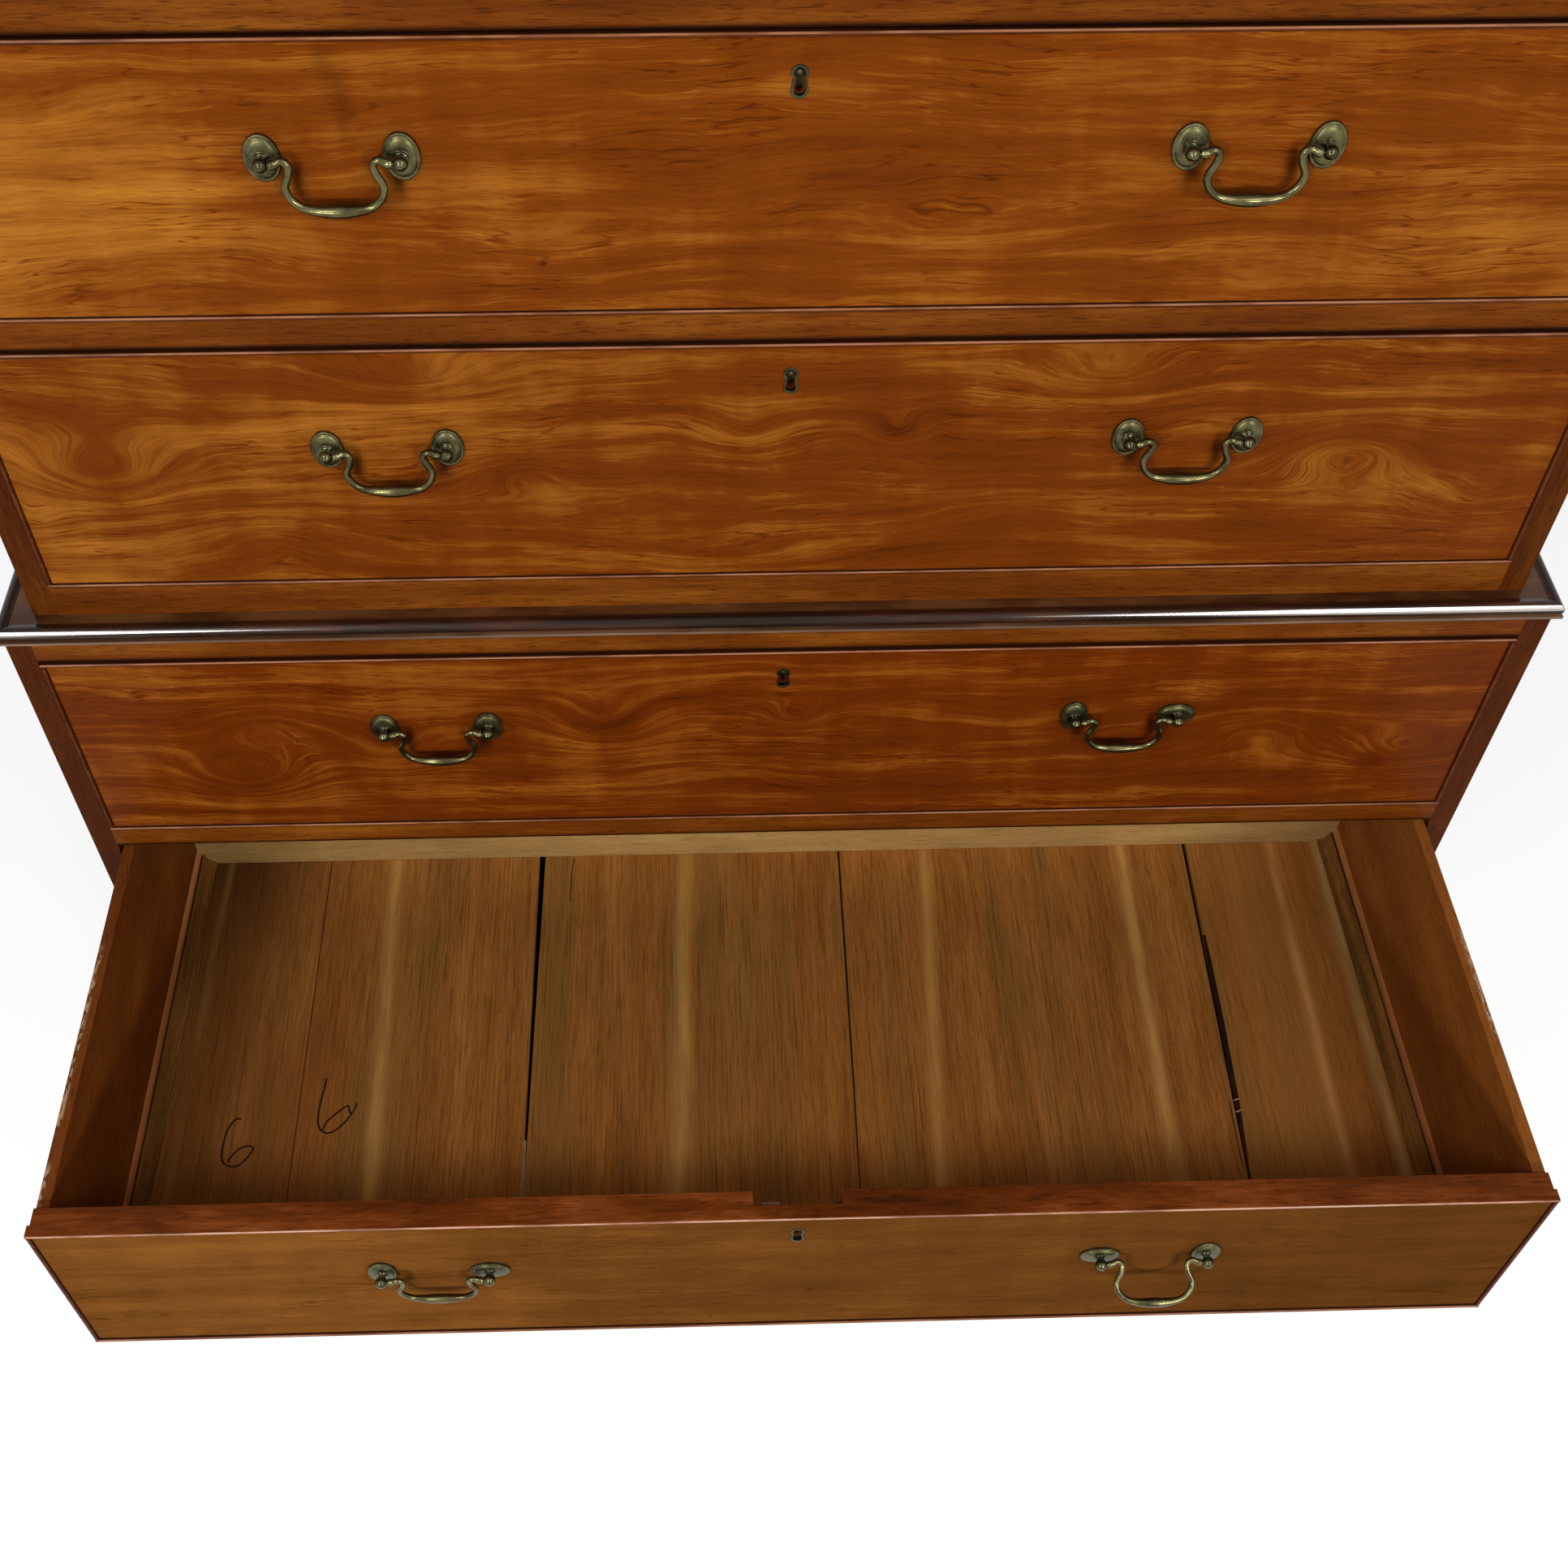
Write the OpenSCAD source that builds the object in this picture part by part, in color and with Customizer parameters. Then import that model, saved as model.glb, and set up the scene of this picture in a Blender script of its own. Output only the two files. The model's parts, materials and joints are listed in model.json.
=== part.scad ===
// Mahogany chest-on-chest: two short and two long drawers over three long drawers.
// The front faces -Y. The sixth drawer stands open, as the others can.

/* [Lower case] */
// Width of the lower case over its sides
lower_w = 1110; // [1040:5:1200]
// Depth of the lower case from its front edges to the back of its back boards
lower_d = 520; // [505:5:600]
// Height of the rail above the highest drawer of the lower case
lower_top_rail_h = 21.5; // [20:0.5:36]
// Height of the rail below the lowest drawer
lower_bottom_rail_h = 30; // [24:1:40]

/* [Upper case] */
// How far each side of the upper case is set in from the lower case
upper_inset = 21.5; // [18:0.5:28]
// How far the front of the upper case is set back
upper_setback = 15; // [12:1:20]
// Height of the rail below the lowest drawer of the upper case
upper_bottom_rail_h = 37; // [30:0.5:44]
// Height of the frieze above the short drawers, most of it behind the cornice
frieze_h = 70; // [64:1:90]
// Width of the upright between the two short drawers
muntin_w = 20; // [16:1:28]

/* [Case boards] */
// Thickness of the side boards
side_t = 18; // [15:1:22]
// Thickness of the top and bottom boards
board_t = 18; // [14:1:22]
// Thickness of the back boards
back_t = 12; // [8:1:15]
// Number of back boards in each case
back_boards = 5; // [3:1:7]
// Height of the rails between drawers
rail_h = 20; // [16:1:24]
// Depth of the rails between drawers, front to back
rail_d = 70; // [55:5:90]
// Depth of the top and bottom rails, front to back
edge_rail_d = 24; // [20:1:30]
// Width of a drawer runner
runner_w = 40; // [36:1:60]
// Depth of the housings that the rails enter in the sides
housing = 6; // [4:1:8]
// Height of the drawer stops on the rails
stop_h = 5; // [4:0.5:6]

/* [Drawers] */
// Height of the short drawers' fronts
drawer_1_h = 150; // [130:1:170]
// Height of the third drawer's front
drawer_3_h = 176; // [150:1:190]
// Height of the fourth drawer's front
drawer_4_h = 195; // [170:1:210]
// Height of the fifth drawer's front
drawer_5_h = 190; // [170:1:210]
// Height of the sixth drawer's front, which stands open
drawer_6_h = 180; // [170:1:210]
// Height of the seventh drawer's front
drawer_7_h = 204; // [180:1:220]
// Space behind a drawer of the lower case, to its back boards
drawer_back_gap = 48; // [34:1:68]
// How far the sixth drawer stands open
open_d = 342; // [250:1:360]
// Thickness of a drawer front
front_t = 20; // [19:1:24]
// Thickness of a drawer side
drawer_side_t = 9; // [8:0.5:12]
// Thickness of a drawer back
drawer_back_t = 9; // [8:0.5:12]
// Thickness of the bottom boards
bottom_t = 7; // [5:0.5:8]
// Height of the bottom boards above the lower edge of the sides
bottom_lift = 8; // [7:0.5:10]
// Gap between a drawer front and the case at each side
side_gap = 1; // [0.5:0.1:1.5]
// Gap above a drawer front
top_gap = 1.5; // [1:0.1:2.5]
// Gap below a drawer front
bottom_gap = 1; // [0.6:0.1:1.4]
// Step from the cockbead in to the drawer side
side_step = 2; // [1.5:0.1:2.5]
// How far the sides stop below the top of the front
side_drop = 4; // [3.5:0.5:8]

/* [Cockbeads] */
// Thickness of a cockbead
bead_t = 3; // [2.5:0.1:3.5]
// How far a cockbead stands proud of the front
bead_proud = 2.5; // [2:0.1:3]
// Depth of the rebate that holds the lower and side cockbeads
bead_rebate = 7; // [6:0.5:9]

/* [Handles] */
// Distance from the drawer's middle to each handle's middle
handle_x = 261; // [230:1:290]
// Distance between the two posts of a handle
post_spacing = 78; // [74:1:90]
// Height of the handle posts, as a share of the front's height
handle_level = 0.605; // [0.55:0.005:0.65]
// Width of a rosette
rosette_w = 20.5; // [18:0.5:24]
// Height of a rosette
rosette_h = 28.5; // [25:0.5:32]
// Distance of the bail's pins from the drawer front
pin_out = 9; // [8.5:0.5:12]
// Radius of the ball on a post
ball_r = 3.75; // [3.5:0.05:4.5]
// Radius of a bail's pins
pin_r = 1.5; // [1.2:0.05:1.8]
// Drop from the pins to the middle of the bail's grip
bail_drop = 30; // [27:0.5:34]
// Radius of the bail's rod
rod_r = 1.85; // [1.5:0.05:2.1]
// Radius of the bail at the middle of its grip
grip_r = 3.7; // [3:0.1:4.2]
// How far the right bail of the open drawer is swung out
swung_angle = 45; // [0:1:80]

/* [Locks and keyholes] */
// Distance from the top of a front down to the keyhole's middle
keyhole_drop = 29; // [26:1:34]
// Width of an escutcheon
escutcheon_w = 10; // [9:0.2:12]
// Height of an escutcheon
escutcheon_h = 20; // [18:0.5:24]
// Width of the lock and its recess
lock_w = 63; // [50:1:70]
// Height of the lock and its recess
lock_h = 46; // [44:1:54]
// Thickness of the lock and depth of its recess
lock_t = 11; // [8:0.5:11]

/* [Mouldings and feet] */
// How far the waist moulding stands out from the lower case
waist_out = 5; // [3:0.5:12]
// Height of the waist moulding
waist_h = 12; // [10:0.5:15]
// How far the base moulding stands out
base_out = 14; // [10:1:18]
// Height of the base moulding
base_h = 26; // [20:1:28]
// How far the cornice stands out
cornice_out = 48; // [36:1:60]
// Height of the cornice
cornice_h = 60; // [50:1:62]
// Height of the bracket feet
foot_h = 132; // [110:1:160]
// Length of a bracket foot along the case
foot_l = 172; // [150:1:200]
// Thickness of a bracket foot
foot_t = 20; // [16:1:24]

/* [Hidden] */

// Colours
MAHOGANY = "#9c5524";
FRONT_WOOD = "#a8601f";
RAIL_WOOD = "#7c3f1c";
DARK_MOULDING = "#2f211c";
BEAD_DARK = "#5a2a18";
DRAWER_WOOD = "#5f3317";
BOTTOM_WOOD = "#6e4a28";
PALE_WOOD = "#a98653";
OLD_BRASS = "#7f7a45";

// Clearances
glue = 0.1;          // between glued pieces of one group
running = 0.3;       // under a drawer, and between a drawer front and its stop
bore_play = 0.06;    // round a bail's pin
over = 1;            // how far a cutting shape passes a face

// The stack of drawers, from the top: heights and the levels of their openings
drawer_h = [0, drawer_1_h, drawer_1_h, drawer_3_h, drawer_4_h, drawer_5_h, drawer_6_h, drawer_7_h];
function opening_h(i) = bottom_gap + drawer_h[i] + top_gap;
case_z = foot_h;
z7 = case_z + lower_bottom_rail_h;
z6 = z7 + opening_h(7) + rail_h;
z5 = z6 + opening_h(6) + rail_h;
lower_top_z = z5 + opening_h(5) + lower_top_rail_h;
z4 = lower_top_z + upper_bottom_rail_h;
z3 = z4 + opening_h(4) + rail_h;
z1 = z3 + opening_h(3) + rail_h;
upper_top_z = z1 + opening_h(1) + frieze_h;
opening_z = [0, z1, z1, z3, z4, z5, z6, z7];

// Plan: the footprint with the open drawer is centred on the origin
bail_out = grip_r + bail_drop * sin(swung_angle);
reach_out = open_d + pin_out + max(ball_r, bail_out);
front_y = (reach_out - lower_d) / 2;
back_y = front_y + lower_d;
upper_front_y = front_y + upper_setback;
upper_w = lower_w - 2 * upper_inset;
lower_in = lower_w / 2 - side_t;
upper_in = upper_w / 2 - side_t;
inner_back_y = back_y - back_t;

// Depth of every drawer, front face to back
drawer_d = lower_d - back_t - drawer_back_gap;

function is_short(i) = i < 3;
function in_upper(i) = i < 5;
function case_in(i) = in_upper(i) ? upper_in : lower_in;
function case_front(i) = in_upper(i) ? upper_front_y : front_y;
function opening_w(i) = is_short(i) ? upper_in - muntin_w / 2 : 2 * case_in(i);
function drawer_x(i) = i == 1 ? -(upper_in + muntin_w / 2) / 2
                     : i == 2 ? (upper_in + muntin_w / 2) / 2 : 0;
function open_by(i) = i == 6 ? open_d : 0;
function half_w(i) = opening_w(i) / 2 - side_gap;
function side_out(i) = half_w(i) - side_step;
function side_in(i) = side_out(i) - drawer_side_t;

// Levels inside a drawer, above the lower edge of its front
side_z0 = running - bottom_gap;
bottom_z = side_z0 + bottom_lift;
floor_z = bottom_z + bottom_t;
function side_top(i) = drawer_h[i] - side_drop;
function board_top(i) = drawer_h[i] - bead_t - glue;
groove = 4;

// Dovetails
tail_l = front_t - bead_rebate - 1;
tail_pitch = 46;
tail_root = 0.5;
tail_flare = 0.14;
function tail_count(z0, z1) = max(2, round((z1 - z0) / tail_pitch));

// Handles
hole_r = pin_r + bore_play;
shank_r = 2.5;
collar_r = 5;
rosette_t = 1.3;
rim_t = 2.2;
rim_w = 1.6;
nut_r = 6;
nut_t = 3;
shank_end = 1;       // how far a post's shank passes its nut
post_foot_r = 3.4;
post_foot_t = 1.1;
neck_r = 2.3;
pin_l = 5;
pin_start = ball_r + 0.35;
function handles(i) = is_short(i) ? [0] : [-1, 1];
function handle_mid(i, side) = side * handle_x;
function handle_z(i) = handle_level * drawer_h[i];
// Rosettes that have worked loose and turned: drawer, handle, post
TURNED = [[5, 1, 1], [6, -1, 1], [6, 1, -1]];
function is_turned(i, side, end) = len([for (t = TURNED) if (t == [i, side, end]) 1]) > 0;

// Bottom boards: where they part, as shares of the inner half width at the front and at the back
PLAIN_SPLITS = [-0.6, -0.2, 0.2, 0.6];
SHORT_SPLITS = [-0.33, 0.33];
OPEN_FRONT = [-0.764, -0.406, 0.112, 0.712];
OPEN_BACK = [-0.772, -0.402, 0.120, 0.735];
plain_gap = 0.8;
OPEN_FRONT_GAPS = [0.6, 0.6, 0.7, 2.2];
OPEN_BACK_GAPS = [0.8, 5.5, 1.4, 3.4];
function splits_front(i) = i == 6 ? OPEN_FRONT : is_short(i) ? SHORT_SPLITS : PLAIN_SPLITS;
function splits_back(i) = i == 6 ? OPEN_BACK : splits_front(i);
function front_gap(i, k) = i == 6 ? OPEN_FRONT_GAPS[k] : plain_gap;
function back_gap(i, k) = i == 6 ? OPEN_BACK_GAPS[k] : plain_gap;

// Points along an arc from angle a to angle b
function arc(x, y, rx, ry, a, b, n = 8) =
    [for (k = [0:n]) [x + rx * cos(a + (b - a) * k / n), y + ry * sin(a + (b - a) * k / n)]];

// A box from its lowest to its highest corner
module box(low, high) {
    translate(low) cube(high - low);
}

// A flat outline in Y and Z, extruded along X from x0 to x1
module along_x(x0, x1) {
    translate([x0, 0, 0]) rotate([90, 0, 90]) linear_extrude(x1 - x0) children();
}

// A flat outline in X and Z, extruded along Y from y0 to y1
module along_y(y0, y1) {
    translate([0, y1, 0]) rotate([90, 0, 0]) linear_extrude(y1 - y0) children();
}

// The case of one half: its sides, boards and back

module case_side(right, half, y0, z0, z1, rails, edge_rails) {
    x0 = right ? half - side_t : -half;
    house_x = right ? x0 - over : -half + side_t - housing;
    color(MAHOGANY) difference() {
        box([x0, y0, z0], [x0 + side_t, back_y, z1]);
        for (z = rails)
            box([house_x, y0 + housing, z], [house_x + housing + over, y0 + rail_d, z + rail_h]);
        for (e = edge_rails)
            box([house_x, y0 + housing, e[0]], [house_x + housing + over, y0 + edge_rail_d, e[1]]);
        box([house_x, inner_back_y, z0 - over], [house_x + housing + over, back_y + over, z1 + over]);
    }
}

LOWER_RAILS = [z6 - rail_h, z5 - rail_h];
LOWER_EDGES = [[case_z, z7], [lower_top_z - lower_top_rail_h, lower_top_z]];
UPPER_RAILS = [z3 - rail_h, z1 - rail_h];
UPPER_EDGES = [[lower_top_z, z4], [upper_top_z - frieze_h, upper_top_z]];

module lower_side(right) {
    case_side(right, lower_w / 2, front_y, case_z, lower_top_z, LOWER_RAILS, LOWER_EDGES);
}

module upper_side(right) {
    case_side(right, upper_w / 2, upper_front_y, lower_top_z, upper_top_z, UPPER_RAILS, UPPER_EDGES);
}

// A top or bottom board between the sides, behind its edge rail
module case_board(inner, y0, top) {
    color(PALE_WOOD)
        box([-inner, y0 + edge_rail_d, top - board_t], [inner, inner_back_y, top]);
}

module lower_top() { case_board(lower_in, front_y, lower_top_z); }
module lower_bottom() { case_board(lower_in, front_y, z7); }
module upper_top() { case_board(upper_in, upper_front_y, upper_top_z); }
module upper_bottom() { case_board(upper_in, upper_front_y, z4); }

// Upright back boards in the rebates of the sides
module case_back(inner, z0, z1) {
    half = inner + housing;
    pitch = (2 * half + plain_gap) / back_boards;
    color(PALE_WOOD) for (k = [0:back_boards - 1])
        box([-half + k * pitch, inner_back_y, z0], [-half + (k + 1) * pitch - plain_gap, back_y, z1]);
}

module lower_back() { case_back(lower_in, case_z, lower_top_z); }
module upper_back() { case_back(upper_in, lower_top_z, upper_top_z); }

// One rail with its ends housed in the sides
module rail(inner, y0, depth, z0, z1) {
    box([-inner, y0, z0], [inner, y0 + depth, z1]);
    box([-inner - housing, y0 + housing, z0], [inner + housing, y0 + depth, z1]);
}

// The mortise above a lock, for its bolt
bolt_w = 24;
bolt_t = 6;
mortise_d = 9;
module bolt_mortise(i) {
    z = opening_z[i] + opening_h(i);
    y = case_front(i) + front_t - lock_t / 2;
    translate([drawer_x(i), 0, 0])
        box([-bolt_w / 2 - over, y - bolt_t / 2 - over, z - over],
            [bolt_w / 2 + over, y + bolt_t / 2 + over, z + mortise_d]);
}

// Blocks on a rail that the drawer fronts come to rest against
stop_l = 40;
module drawer_stops(i) {
    y = case_front(i) + front_t + running;
    w = opening_w(i) / 2;
    for (s = [-1, 1])
        translate([drawer_x(i) + s * w * 0.6, 0, opening_z[i] + glue])
            box([-stop_l / 2, y, 0], [stop_l / 2, y + stop_l / 2, stop_h]);
}

module lower_rails() {
    color(RAIL_WOOD) difference() {
        union() {
            for (z = LOWER_RAILS) rail(lower_in, front_y, rail_d, z, z + rail_h);
            for (e = LOWER_EDGES) rail(lower_in, front_y, edge_rail_d, e[0], e[1]);
        }
        for (i = [5:7]) bolt_mortise(i);
    }
    color(RAIL_WOOD) for (i = [5:6]) drawer_stops(i);
    color(RAIL_WOOD) bottom_stops(7);
}

// Stops of the lowest drawer of a case stand on its bottom board
module bottom_stops(i) {
    y = case_front(i) + front_t + running;
    back = case_front(i) + edge_rail_d;
    for (s = [-1, 1])
        translate([s * opening_w(i) * 0.3, 0, opening_z[i] + glue])
            box([-stop_l / 2, y, 0], [stop_l / 2, max(y, back) + stop_l / 2, stop_h]);
}

// The upright between the short drawers, tenoned into the rails above and below
tenon_h = 8;
muntin_top = upper_top_z - frieze_h;
module muntin_tenon(fit) {
    box([-muntin_w / 6 - fit, upper_front_y + housing - fit, z1 - tenon_h - fit],
        [muntin_w / 6 + fit, upper_front_y + edge_rail_d - housing + fit, muntin_top + tenon_h + fit]);
}

module muntin() {
    box([-muntin_w / 2, upper_front_y, z1 + glue],
        [muntin_w / 2, upper_front_y + rail_d, muntin_top - glue]);
    muntin_tenon(0);
}

module upper_rails() {
    color(RAIL_WOOD) difference() {
        union() {
            for (z = UPPER_RAILS) rail(upper_in, upper_front_y, rail_d, z, z + rail_h);
            for (e = UPPER_EDGES) rail(upper_in, upper_front_y, edge_rail_d, e[0], e[1]);
        }
        for (i = [1:4]) bolt_mortise(i);
        muntin_tenon(glue);
    }
    color(RAIL_WOOD) muntin();
    color(RAIL_WOOD) for (i = [1:3]) drawer_stops(i);
    color(RAIL_WOOD) bottom_stops(4);
}

// Runners behind a rail, one along each side, flush with the rail's top
module side_runners(inner, y0, z) {
    for (s = [-1, 1])
        translate([s * (inner - runner_w / 2), 0, 0])
            box([-runner_w / 2, y0 + rail_d, z], [runner_w / 2, inner_back_y, z + rail_h]);
}

// A guide strip that keeps a drawer straight, in the gap beside the drawer side
guide_h = 12;
module side_guides(inner, y0, z) {
    w = side_gap + side_step - running;
    for (s = [-1, 1])
        translate([s * (inner - w / 2), 0, z + glue])
            box([-w / 2, y0 + rail_d, 0], [w / 2, inner_back_y, guide_h]);
}

module lower_runners() {
    color(PALE_WOOD) for (z = LOWER_RAILS) side_runners(lower_in, front_y, z);
    color(PALE_WOOD) for (z = [z7, z6, z5]) side_guides(lower_in, front_y, z);
}

// The short drawers share a middle runner with a guide on top
module upper_runners() {
    color(PALE_WOOD) {
        for (z = UPPER_RAILS) side_runners(upper_in, upper_front_y, z);
        box([-runner_w, upper_front_y + rail_d, z1 - rail_h], [runner_w, inner_back_y, z1]);
        for (z = [z4, z3, z1]) side_guides(upper_in, upper_front_y, z);
        guide_w = muntin_w / 2 + side_gap + side_step - running;
        box([-guide_w, upper_front_y + rail_d, z1 + glue], [guide_w, inner_back_y, z1 + guide_h]);
    }
}

// Mouldings: a front length and two returns, mitred from the outer to the inner corner.
// The child is the outline, its first number the distance out from the inner face, its second
// the height above z.

module moulding_front(x_out, y_out, x_in, y_in, z, h) {
    intersection() {
        along_x(-x_out, x_out) translate([y_in, z]) mirror([1, 0]) children();
        translate([0, 0, z - over]) linear_extrude(h + 2 * over) polygon([
            [-x_out + 2 * glue, y_out], [x_out - 2 * glue, y_out],
            [x_in - 2 * glue, y_in], [-x_in + 2 * glue, y_in]]);
    }
}

module moulding_return(x_out, y_out, x_in, y_in, z, h) {
    intersection() {
        translate([x_in, 0, z]) along_y(y_out, back_y) children();
        translate([0, 0, z - over]) linear_extrude(h + 2 * over) polygon([
            [x_out, y_out], [x_out, back_y], [x_in, back_y], [x_in, y_in]]);
    }
}

module both_returns() {
    children();
    mirror([1, 0, 0]) children();
}

// Waist moulding: a thin fillet, a half-round nose and a flat top that meets the upper case
fillet_h = 2.2;
function waist_outline(inner) = concat(
    [[0, 0], [inner + waist_out, 0], [inner + waist_out, fillet_h],
     [inner + waist_out - 1.2, fillet_h]],
    arc(inner + waist_out - (waist_h - fillet_h) / 2 - 0.8, (waist_h + fillet_h) / 2,
        (waist_h - fillet_h) / 2, (waist_h - fillet_h) / 2, -80, 100, 12),
    [[inner + waist_out - waist_h + 1.2, waist_h - 1.4], [0, waist_h - 1.4]]);

module waist_moulding() {
    x_out = lower_w / 2 + waist_out;
    y_out = front_y - waist_out;
    x_in = upper_w / 2;
    color(DARK_MOULDING) {
        moulding_front(x_out, y_out, x_in, upper_front_y, lower_top_z, waist_h)
            polygon(waist_outline(upper_setback));
        both_returns() moulding_return(x_out, y_out, x_in, upper_front_y, lower_top_z, waist_h)
            polygon(waist_outline(upper_inset));
    }
}

// Base moulding: a plain face, a small round and an ovolo that runs up to the case
base_face = 0.45;
base_round = 2;
function base_outline() = let (o = base_out, h = base_h, f = base_h * base_face) concat(
    [[0, 0], [o, 0]],
    arc(o - base_round, f, base_round, base_round, 0, 90, 4),
    arc(1.5, f + base_round, o - 3 * base_round, h - f - 2 * base_round, 0, 90, 8),
    [[1.5, h], [0, h]]);

module base_moulding() {
    x_out = lower_w / 2 + base_out;
    y_out = front_y - base_out;
    color(RAIL_WOOD) {
        moulding_front(x_out, y_out, lower_w / 2, front_y, case_z, base_h) polygon(base_outline());
        both_returns() moulding_return(x_out, y_out, lower_w / 2, front_y, case_z, base_h)
            polygon(base_outline());
    }
}

// Cornice: bead, cavetto, fascia, cyma and top fillet, standing out as it rises
crown_rise = 5;
crown_fillet = 6;
cornice_bead_r = 3.5;
fascia_h = 7;
function cornice_outline() = let (
    o = cornice_out, h = cornice_h, r = cornice_bead_r, hollow = o * 0.42, hollow_h = h * 0.27,
    fascia_x = hollow + r + 2, fascia_z = 2 * r + 2 + hollow_h, cyma_x = fascia_x + 2,
    cyma_z = fascia_z + fascia_h + 2, rx = (o - cyma_x) / 2, rz = (h - crown_fillet - cyma_z) / 2) concat(
    [[0, 0]],
    arc(r - 1, r, r, r, -90, 90, 8),
    arc(r - 1 + hollow, 2 * r + 2, hollow, hollow_h, 180, 90, 8),
    [[fascia_x, fascia_z], [fascia_x, fascia_z + fascia_h], [cyma_x, fascia_z + fascia_h]],
    arc(cyma_x, cyma_z + rz, rx, rz, -90, 0, 6),
    arc(o, cyma_z + rz, rx, rz, 174, 90, 6),
    [[o, h], [0, h]]);

module cornice() {
    x_out = upper_w / 2 + cornice_out;
    y_out = upper_front_y - cornice_out;
    z0 = upper_top_z + crown_rise - cornice_h;
    color(MAHOGANY) {
        moulding_front(x_out, y_out, upper_w / 2, upper_front_y, z0, cornice_h) polygon(cornice_outline());
        both_returns() moulding_return(x_out, y_out, upper_w / 2, upper_front_y, z0, cornice_h)
            polygon(cornice_outline());
    }
}

// Bracket feet: the outline of a bracket, from the corner along the case, and its boards
foot_base = foot_l * 0.34;
function bracket_outline() = let (l = foot_l, h = foot_h, r1 = 26, r2 = 34) concat(
    [[0, 0], [0, h], [l, h], [l, h - 16]],
    arc(l, h - 16 - r1, r1, r1, 90, 180, 8),
    [[l - r1 - 8, h - 16 - r1]],
    arc(l - r1 - 8, h - 16 - r1 - r2, r2, r2, 90, 180, 8),
    arc(l - r1 - 8 - r2, 0, l - r1 - 8 - r2 - foot_base, h - 16 - r1 - r2, 90, 180, 10));

foot_out = base_out - 2;
block = 34;
module foot_board() {
    intersection() {
        rotate([90, 0, 0]) translate([0, 0, -foot_t]) linear_extrude(foot_t) polygon(bracket_outline());
        linear_extrude(foot_h) polygon([[glue, 0], [foot_l, 0], [foot_l, foot_t], [foot_t + glue, foot_t]]);
    }
}

// A front foot at the left corner: front board, side board and the block behind the corner
module front_foot() {
    foot_board();
    mirror([1, 0, 0]) rotate([0, 0, 90]) foot_board();
    box([foot_t + glue, foot_t + glue, over * 2], [foot_t + block, foot_t + block, foot_h]);
}

// A rear foot: a side board with a straight end, a plain bracket across the back, a block
module rear_foot() {
    mirror([1, 0, 0]) rotate([0, 0, 90]) rotate([90, 0, 0]) translate([0, 0, -foot_t])
        linear_extrude(foot_t) polygon(bracket_outline());
    along_y(0, foot_t) polygon([[foot_t + glue, 0], [foot_t + glue, foot_h], [foot_l * 0.8, foot_h],
                                [foot_t + foot_base * 0.7, 0]]);
    box([foot_t + glue, foot_t + glue, over * 2], [foot_t + block, foot_t + block, foot_h]);
}

module both_sides() {
    children();
    mirror([1, 0, 0]) children();
}

module front_feet() {
    color(RAIL_WOOD) both_sides()
        translate([-lower_w / 2 - foot_out, front_y - foot_out, 0]) front_foot();
}

module rear_feet() {
    color(RAIL_WOOD) both_sides()
        translate([-lower_w / 2 - foot_out, back_y, 0]) mirror([0, 1, 0]) rear_foot();
}

// Drawers

module at_drawer(i) {
    translate([drawer_x(i), case_front(i) - open_by(i), opening_z[i] + bottom_gap]) children();
}

// Outline of dovetails in Y and Z, their roots at y_root and their tips at y_tip.
// Behind its root each tail runs on straight, into its own board.
module tails(y_root, y_tip, z0, z1, grow) {
    n = tail_count(z0, z1);
    pitch = (z1 - z0) / n;
    root = pitch * tail_root / 2 + grow;
    tip = root + abs(y_tip - y_root) * tail_flare;
    behind = y_root + (y_root > y_tip ? over : -over);
    for (k = [0:n - 1]) {
        z = z0 + (k + 0.5) * pitch;
        polygon([[behind, z - root], [y_root, z - root], [y_tip, z - tip],
                 [y_tip, z + tip], [y_root, z + root], [behind, z + root]]);
    }
}

// Cockbead section: Y from its rounded nose back over depth, and its thickness
module bead_section(depth) {
    r = bead_t / 2;
    translate([r - bead_proud, 0]) square([depth - r + bead_proud, bead_t]);
    translate([r - bead_proud, r]) circle(r, $fn = 24);
}

// Keyhole outline: a round top over a skirt, drawn inside the given half width and half height
module keyhole(w, h) {
    r = w / 2;
    translate([0, h / 2 - r]) circle(r, $fn = 32);
    polygon([[-r * 0.72, h / 2 - r * 1.4], [r * 0.72, h / 2 - r * 1.4],
             [r, -h / 2 + r], [-r, -h / 2 + r]]);
    translate([0, -h / 2 + r]) circle(r, $fn = 32);
}

escutcheon_rim = 1.7;
escutcheon_proud = 0.5;
escutcheon_in = 3;

function keyhole_z(i) = drawer_h[i] - keyhole_drop;
function lock_z0(i) = drawer_h[i] - lock_h;

module lock_space(i, fit) {
    box([-lock_w / 2 + fit, front_t - lock_t + fit, lock_z0(i) + fit],
        [lock_w / 2 - fit, front_t + (fit > 0 ? 0 : over), drawer_h[i] + (fit > 0 ? -glue : over)]);
}

module post_places(i) {
    for (side = handles(i), end = [-1, 1])
        translate([handle_mid(i, side) + end * post_spacing / 2, 0, handle_z(i)])
            rotate([0, is_turned(i, side, end) ? 90 : 0, 0]) children();
}

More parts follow.
